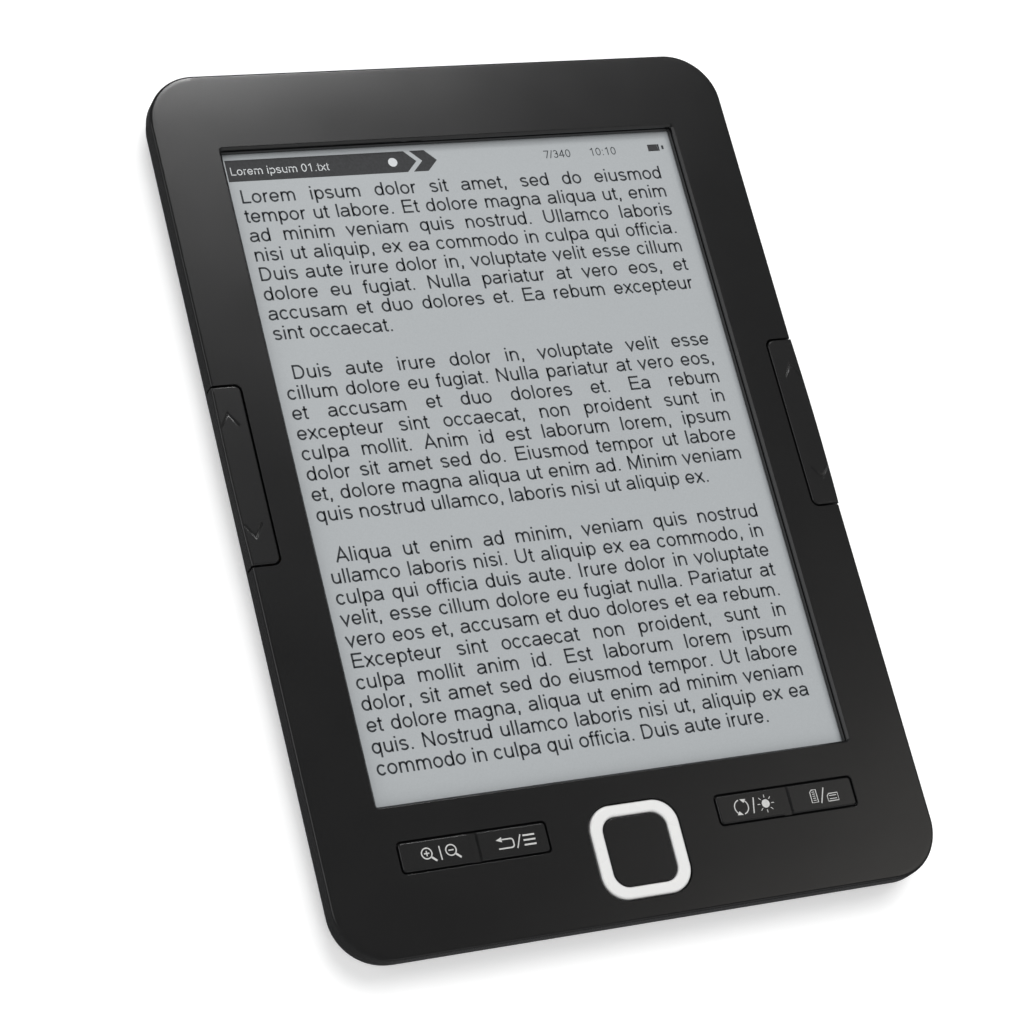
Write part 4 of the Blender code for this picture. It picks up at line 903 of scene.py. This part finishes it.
# For each letter its advance, and the middles of its strokes.
LETTERS = {
    "a": (0.556, (
        bend(0.27, 0.375, 0.172, 0.108, 165, 0, 8) + [(0.442, 0.12), (0.465, 0.0)],
        [(0.442, 0.30), (0.30, 0.282)] + bend(0.205, 0.157, 0.142, 0.121, 85, 275, 10)
        + [(0.35, 0.075), (0.442, 0.17)],
    )),
    "b": (0.556, (post(STEM_LEFT), bowl(STEM_LEFT + BOWL_WIDE))),
    "c": (0.50, (bend(0.262, MIDDLE, 0.192, BOWL_TALL, 38, 322, 16),)),
    "d": (0.556, (post(STEM_RIGHT), bowl(STEM_RIGHT - BOWL_WIDE))),
    "e": (0.556, (bend(0.278, MIDDLE, 0.198, BOWL_TALL, 0, 328, 18), bar(0.09, 0.50, MIDDLE - 0.01))),
    "f": (0.278, (
        [(0.128, 0.0), (0.128, 0.59)] + bend(0.208, 0.59, 0.08, 0.085, 180, 90, 6) + [(0.285, 0.67)],
        bar(0.015, 0.262, LINE_HIGH),
    )),
    "g": (0.556, (
        bowl(STEM_RIGHT - BOWL_WIDE),
        [(STEM_RIGHT, X_TOP), (STEM_RIGHT, -0.03)]
        + bend(STEM_RIGHT - BOWL_WIDE, -0.045, BOWL_WIDE, 0.12, 0, -155, 10),
    )),
    "i": (0.222, (stem(0.111), dot(0.111, 0.67))),
    "l": (0.222, (post(0.111),)),
    "m": (0.833, (stem(0.108), arch(0.108, 0.418), arch(0.418, 0.728))),
    "n": (0.556, (stem(STEM_LEFT), arch(STEM_LEFT, STEM_RIGHT))),
    "o": (0.556, (bowl(0.278, 0.198),)),
    "p": (0.556, (stem(STEM_LEFT, TAIL), bowl(STEM_LEFT + BOWL_WIDE))),
    "q": (0.556, (stem(STEM_RIGHT, TAIL), bowl(STEM_RIGHT - BOWL_WIDE))),
    "r": (0.333, (stem(STEM_LEFT), bend(0.27, ARCH_BASE, 0.162, ARCH_TALL, 180, 78, 7))),
    "s": (0.50, (
        bend(0.243, 0.378, 0.155, 0.105, 22, 235, 10)
        + bend(0.255, 0.148, 0.165, 0.112, 62, -158, 10),
    )),
    "t": (0.278, (
        [(0.128, 0.655), (0.128, 0.12)] + bend(0.2, 0.12, 0.072, 0.082, 180, 265, 5) + [(0.262, 0.04)],
        bar(0.02, 0.255, LINE_HIGH),
    )),
    "u": (0.556, (
        stem(STEM_RIGHT),
        [(STEM_LEFT, X_TOP)] + bend(0.279, 0.201, 0.171, ARCH_TALL, 180, 360, 10),
    )),
    "v": (0.50, ([(0.04, X_TOP), (0.25, 0.03), (0.46, X_TOP)],)),
    "x": (0.50, ([(0.045, 0.0), (0.445, X_TOP)], [(0.055, X_TOP), (0.455, 0.0)])),
    "A": (0.667, ([(0.045, 0.0), (0.333, 0.69), (0.622, 0.0)], bar(0.15, 0.52, 0.225))),
    "D": (0.722, (
        post(0.13),
        [(0.13, 0.042)] + bend(0.34, 0.358, 0.27, 0.316, -90, 90, 12) + [(0.13, 0.674)],
    )),
    "E": (0.667, (post(0.13), bar(0.13, 0.62, 0.042), bar(0.13, 0.58, 0.37), bar(0.13, 0.61, 0.674))),
    "I": (0.278, (post(0.139),)),
    "L": (0.556, (post(0.12), bar(0.12, 0.52, 0.042))),
    "M": (0.833, (post(0.12), [(0.12, 0.69), (0.416, 0.05), (0.713, 0.69)], post(0.713))),
    "N": (0.722, (post(0.125), [(0.125, 0.68), (0.597, 0.036)], post(0.597))),
    "P": (0.667, (
        post(0.13),
        [(0.13, 0.674)] + bend(0.40, 0.505, 0.185, 0.169, 90, -90, 10) + [(0.13, 0.336)],
    )),
    "U": (0.722, (
        [(0.125, CAP_TOP)] + bend(0.361, 0.26, 0.236, 0.226, 180, 360, 12) + [(0.597, CAP_TOP)],
    )),
    ".": (0.278, (dot(0.139, 0.046),)),
    ",": (0.278, (dot(0.139, 0.046), [(0.152, 0.02), (0.112, -0.11)])),
    "0": (0.556, (bowl(0.276, 0.188, CAP_TOP / 2, 0.324),)),
    "1": (0.556, (post(0.32), [(0.32, 0.68), (0.13, 0.54)])),
    "3": (0.556, (
        bend(0.265, 0.53, 0.155, 0.147, 155, -85, 10) + bend(0.265, 0.212, 0.188, 0.176, 85, -155, 12),
    )),
    "4": (0.556, (post(0.375), [(0.375, 0.68), (0.06, 0.21), (0.52, 0.21)])),
    "7": (0.556, ([(0.06, 0.672), (0.475, 0.672), (0.215, 0.0)],)),
    "/": (0.278, ([(0.03, 0.0), (0.25, CAP_TOP)],)),
    ":": (0.278, (dot(0.139, 0.046), dot(0.139, 0.47))),
}


class Printing(Solid):
    """Thin printed marks lying on a surface at the given height."""

    def __init__(self, level):
        super().__init__()
        self.low = level + PRINT_LIFT
        self.high = self.low + PRINT_THICKNESS

    def patch(self, outline):
        outline = turned(outline)
        self.loft([(self.low, outline), (self.high, outline)])

    def stroke(self, path, thickness):
        """One stroke. A path that ends where it starts becomes a hoop."""
        touching = 0.01 * thickness
        if math.dist(path[0], path[-1]) > touching:
            self.patch(ribbon(path, thickness))
        else:
            inner, outer = hoop_outlines(path[:-1], thickness)
            self.tube([(self.low, outer), (self.high, outer), (self.high, inner), (self.low, inner)])

    def words(self, text, left, baseline, size, weight=1.0, gap=0.0):
        """Sets a line of text, with gap added to each space."""
        x = left
        for letter in text:
            if letter == " ":
                x += WORD_GAP * size + gap
                continue
            advance, strokes = LETTERS[letter]
            for path in strokes:
                placed = [(x + u * size, baseline + v * size) for u, v in path]
                self.stroke(placed, STROKE_SHARE * weight * size)
            x += advance * size


def hoop_outlines(points, thickness):
    """The inner and outer outline of a closed stroke that runs anticlockwise."""
    inner, outer = [], []
    for index, (x, y) in enumerate(points):
        before, after = points[index - 1], points[(index + 1) % len(points)]
        along = Vector((after[0] - before[0], after[1] - before[1])).normalized()
        reach = thickness / 2
        outer.append((x + along.y * reach, y - along.x * reach))
        inner.append((x - along.y * reach, y + along.x * reach))
    return inner, outer


def text_width(text, size):
    return sum(WORD_GAP if c == " " else LETTERS[c][0] for c in text) * size


def filler_words(start):
    """Endless filler words in sentences, from the given word of the filler on."""
    length, index = 0, start
    while True:
        word = FILLER[index % len(FILLER)]
        following = FILLER[(index + 1) % len(FILLER)]
        if length == 0:
            word = word.capitalize()
        index += 1
        length += 1
        if length >= SENTENCE and following[0].upper() in LETTERS:
            word += "."
            length = 0
        elif length == SENTENCE // 2:
            word += ","
        yield word


def set_paragraph(sheet, start, first_line, lines, indent, last_share):
    """Justified lines of filler; the last one runs only this share of the width."""
    words = filler_words(start)
    word = next(words)
    for line in range(lines):
        left = PAGE_LEFT + (indent if line == 0 else 0.0)
        width = PAGE_RIGHT - left
        last = line == lines - 1
        text = ""
        room = width * last_share if last else width
        while text_width(f"{text} {word}".strip(), TEXT_SIZE) <= room:
            text = f"{text} {word}".strip()
            word = next(words)
        if last:
            text = text.rstrip(",.") + "."
        spare = 0.0 if last else width - text_width(text, TEXT_SIZE)
        baseline = FIRST_LINE - X_TOP * TEXT_SIZE / 2 - (first_line + line) * LINE_PITCH
        sheet.words(text, left, baseline, TEXT_SIZE, TEXT_WEIGHT, spare / max(1, text.count(" ")))


PAGE_LEFT = -43.96 * MM
PAGE_RIGHT = 42.5 * MM
LINE_PITCH = 3.953 * MM
FIRST_LINE = 59.9 * MM
TEXT_SIZE = 3.86 * MM
TEXT_WEIGHT = 1.04
SMALL_WEIGHT = 0.85
SENTENCE = 11

INDENT = 1.8 * MM
# Of each paragraph the first word, the first line, the number of lines, the indent and how much
# of the width its last line fills.
PARAGRAPHS = ((0, 0, 8, 0.0, 0.31), (34, 9, 8, INDENT, 0.93), (14, 18, 11, INDENT, 0.99))

BAR_LEFT = -45.3 * MM
BAR_LOW = 63.4 * MM
BAR_HIGH = 67.8 * MM
BAR_TIP = -7.6 * MM
BAR_NOTCH = 2.2 * MM


def build_page(materials):
    for number, paragraph in enumerate(PARAGRAPHS, 1):
        sheet = Printing(SCREEN_TOP)
        set_paragraph(sheet, *paragraph)
        printed(sheet, f"page_text_{number}", materials["ink"], "case")

    middle = (BAR_LOW + BAR_HIGH) / 2
    band = Printing(SCREEN_TOP)
    shoulder = BAR_TIP - BAR_NOTCH
    tip = [(shoulder, BAR_LOW), (BAR_TIP, middle), (shoulder, BAR_HIGH)]
    band.patch([(BAR_LEFT, BAR_LOW), *tip, (BAR_LEFT, BAR_HIGH)])
    step, thickness = 4.2 * MM, 3.0 * MM
    arrow = [(x + step, y) for x, y in tip]
    band.patch(arrow + [(x - thickness, y) for x, y in arrow[::-1]])
    printed(band, "page_title_bar", materials["bar"], "case")

    dot_x, dot_radius = -12.4 * MM, 0.92 * MM
    title_left, title_drop, title_size = -44.75 * MM, 0.9 * MM, 2.3 * MM
    over = Printing(SCREEN_TOP + PRINT_THICKNESS + PRINT_LIFT)
    over.patch(circle((dot_x, middle), dot_radius))
    over.words("Lorem ipsum 01.txt", title_left, middle - title_drop, title_size, SMALL_WEIGHT)
    printed(over, "page_title", materials["white"], "case")

    pages_left, clock_left, status_drop, status_size = 18.7 * MM, 28.4 * MM, 0.98 * MM, 2.32 * MM
    status = Printing(SCREEN_TOP)
    for words, left in (("7/340", pages_left), ("10:10", clock_left)):
        status.words(words, left, middle - status_drop, status_size, SMALL_WEIGHT)
    left, right, half, edge = 41.10 * MM, 43.55 * MM, 0.72 * MM, 0.16 * MM
    nub_left, nub_right, nub_half = 44.05 * MM, 44.50 * MM, 0.4 * MM
    status.patch(rectangle((right - 2 * edge, middle - half), (right, middle + half)))
    status.patch(rectangle((nub_left, middle - nub_half), (nub_right, middle + nub_half)))
    charge = Printing(SCREEN_TOP)
    charge.patch(rectangle((left, middle - half), (right - 2.2 * edge, middle + half)))
    printed(charge, "page_charge", materials["bar"], "case")
    printed(status, "page_status", materials["ink"], "case")


# ---- Symbols on the function keys ----

FINE = 0.13
THIN = 0.22
ARROW = 0.24
THICK = 0.30


class Symbols(Printing):
    """Printed marks placed in millimetres from the middle of a function key."""

    def __init__(self, side):
        super().__init__(FUNCTION_KEY_TOP)
        self.x = side * FUNCTION_KEY_X
        self.y = FUNCTION_KEY_Y

    def at(self, points):
        return [(self.x + u * MM, self.y + v * MM) for u, v in points]

    def flat(self, points):
        self.patch(self.at(points))

    def line(self, points, thickness=THIN):
        self.stroke(self.at(points), thickness * MM)

    def slash(self, u, v, lean, tall):
        self.line([(u - lean / 2, v - tall / 2), (u + lean / 2, v + tall / 2)])

    def magnifier(self, u, v, plus):
        radius, arm, handle = 0.95, 0.48, 0.36
        self.line(arc((u, v), radius, 0, 360, 32))
        self.line([(u + 0.72, v - 0.72), (u + 1.62, v - 1.50)], handle)
        self.line([(u - arm, v), (u + arm, v)])
        if plus:
            for way in (-1, 1):
                self.line([(u, v + way * THIN / 2), (u, v + way * arm)])

    def back_arrow(self, u, v):
        """A line that comes back on itself, with a head on its upper end."""
        radius, right, high, low = 0.5, u + 1.0, v + 0.75, v - 0.85
        path = [(u - 0.7, high)]
        path += arc((right, high - radius), radius, 90, 0, 5)
        path += arc((right, low + radius), radius, 0, -90, 5)
        path.append((u - 1.45, low))
        self.line(path, ARROW)
        self.flat([(u - 1.70, v + 0.72), (u - 0.60, v + 0.28), (u - 0.60, v + 1.20)])

    def refresh(self, u, v):
        """Two curved arrows that chase each other."""
        radius, spread, width = 1.36, 0.42, 0.2
        for turn in (0, 180):
            self.line(arc((u, v), radius, turn - 76, turn + 52, 16), width)
            corners = ((radius + 0.1, 92), (radius + spread, 50), (radius - spread, 48))
            self.flat([arc((u, v), r, turn + angle, turn + angle, 1)[0] for r, angle in corners])

    def sun(self, u, v):
        disc, ray_starts, ray_ends = 0.78, 1.12, 1.66
        self.flat(circle((u, v), disc, 24))
        for ray in range(8):
            angle = math.radians(45 * ray)
            ends = [(u + r * math.cos(angle), v + r * math.sin(angle)) for r in (ray_starts, ray_ends)]
            self.line(ends, FINE)

    def sheet(self, u, v, wide, tall, rows):
        """A page with a cut corner and rows of text."""
        low, high, left, right = v - tall / 2, v + tall / 2, u - wide / 2, u + wide / 2
        corner, edge, margin = 0.38, 0.17, 0.40
        outline = [(left, low), (right, low), (right, high), (left + corner, high), (left, high - corner)]
        self.line(outline + outline[:1], edge)
        for row in range(rows):
            y = low + margin + (tall - 2 * margin) * row / max(1, rows - 1)
            self.line([(left + 0.36, y), (right - 0.32, y)], FINE)


def build_symbols(materials):
    left = Symbols(-1)
    left.magnifier(-8.95, 0.15, plus=True)
    left.slash(-6.45, -0.10, lean=-0.1, tall=2.5)
    left.magnifier(-4.45, 0.15, plus=False)
    left.back_arrow(5.75, -0.15)
    left.slash(8.25, -0.10, lean=0.95, tall=2.35)
    bar_left, bar_right, bar_pitch, bar_drop = 9.15, 11.40, 0.85, 0.05
    for row in (-1, 0, 1):
        v = bar_pitch * row - bar_drop
        left.line([(bar_left, v), (bar_right, v)], THICK)
    printed(left, "function_symbols_left", materials["print"], "function_key_left")

    right = Symbols(1)
    right.refresh(-9.15, 0.0)
    right.slash(-6.7, 0.0, lean=0.6, tall=2.85)
    right.sun(-4.25, 0.0)
    right.sheet(5.60, 0.0, wide=1.25, tall=2.35, rows=5)
    right.slash(7.35, -0.05, lean=1.05, tall=2.8)
    right.sheet(9.35, -0.60, wide=2.15, tall=1.40, rows=2)
    printed(right, "function_symbols_right", materials["print"], "function_key_right")


# ---- Studio ----

LIGHT_DISTANCE = 8.0
FLOOR_HALF = 3.0
FLOOR_THICKNESS = 0.02
FLOOR_SUNK = 0.2 * MM


def area_light(name, direction, size, radiance, colour=(1.0, 1.0, 1.0)):
    """A round soft light of this radiance, in this direction from the reader."""
    data = bpy.data.lights.new(name, "AREA")
    data.shape = "DISK"
    data.size = size
    data.energy = radiance * math.pi * math.pi * size * size / 4
    data.color = colour
    item = bpy.data.objects.new(name, data)
    bpy.context.scene.collection.objects.link(item)
    towards = Vector(direction).normalized()
    item.location = towards * LIGHT_DISTANCE
    item.rotation_mode = "QUATERNION"
    item.rotation_quaternion = towards.to_track_quat("Z", "Y")
    return item


def build_studio():
    low, high = (-FLOOR_HALF, -FLOOR_HALF, -FLOOR_THICKNESS), (FLOOR_HALF, FLOOR_HALF, -FLOOR_SUNK)
    floor = Solid().block(low, high).object("studio_floor")
    glow = {"Emission_Color": (1.0, 1.0, 1.0, 1.0), "Emission_Strength": 0.3}
    paper = Surface("studio_paper", (0.96, 0.96, 0.96), 0.85, **glow)
    paper.mottle(size=0.4, amount=0.01).grain(size=3 * MM, depth=0.02 * MM)
    floor.data.materials.append(paper.material)
    floor.visible_glossy = False

    world = bpy.data.worlds.new("studio_air")
    world.use_nodes = True
    air = world.node_tree.nodes["Background"]
    air.inputs["Color"].default_value = (0.97, 0.98, 1.0, 1.0)
    air.inputs["Strength"].default_value = 0.11
    bpy.context.scene.world = world

    glint = area_light("window_light", (0.314, 0.571, 0.758), size=1.0, radiance=42.5)
    glint.visible_diffuse = False
    area_light("warm_light", (0.553, 0.095, 0.828), size=2.0, radiance=1.45, colour=(1.0, 0.96, 0.90))
    area_light("side_strip", (-0.88, 0.25, 0.36), size=5.0, radiance=1.20)
    area_light("front_strip", (0.35, -0.84, 0.36), size=5.0, radiance=0.50)
    overhead = area_light("overhead_diffuser", (0.10, 0.38, 0.91), size=7.0, radiance=3.9)
    camera_side = area_light("front_diffuser", (-0.45, -0.45, 0.77), size=9.0, radiance=1.75)
    for soft in (overhead, camera_side):
        soft.visible_glossy = False

    data = bpy.data.cameras.new("camera")
    data.sensor_width = 36.0
    data.lens = CAMERA_LENS
    data.clip_start = 0.01
    data.clip_end = 20.0
    camera = bpy.data.objects.new("camera", data)
    bpy.context.scene.collection.objects.link(camera)
    right = CAMERA_RIGHT.normalized()
    back = right.cross(CAMERA_UP).normalized()
    up = back.cross(right)
    turn = Matrix((right, up, back)).transposed()
    camera.matrix_world = Matrix.Translation(Vector((0, 0, CASE_TOP)) + CAMERA_OFFSET) @ turn.to_4x4()
    bpy.context.scene.camera = camera
    bpy.context.scene.view_settings.view_transform = "Standard"


def main():
    materials = build_materials()
    dress_inner_nodes(materials)
    build_bezel(materials)
    build_rear(materials)
    build_page_keys(materials)
    build_function_keys(materials)
    build_navigation(materials)
    build_power_button(materials)
    build_sockets(materials)
    build_page(materials)
    build_symbols(materials)
    build_studio()


main()
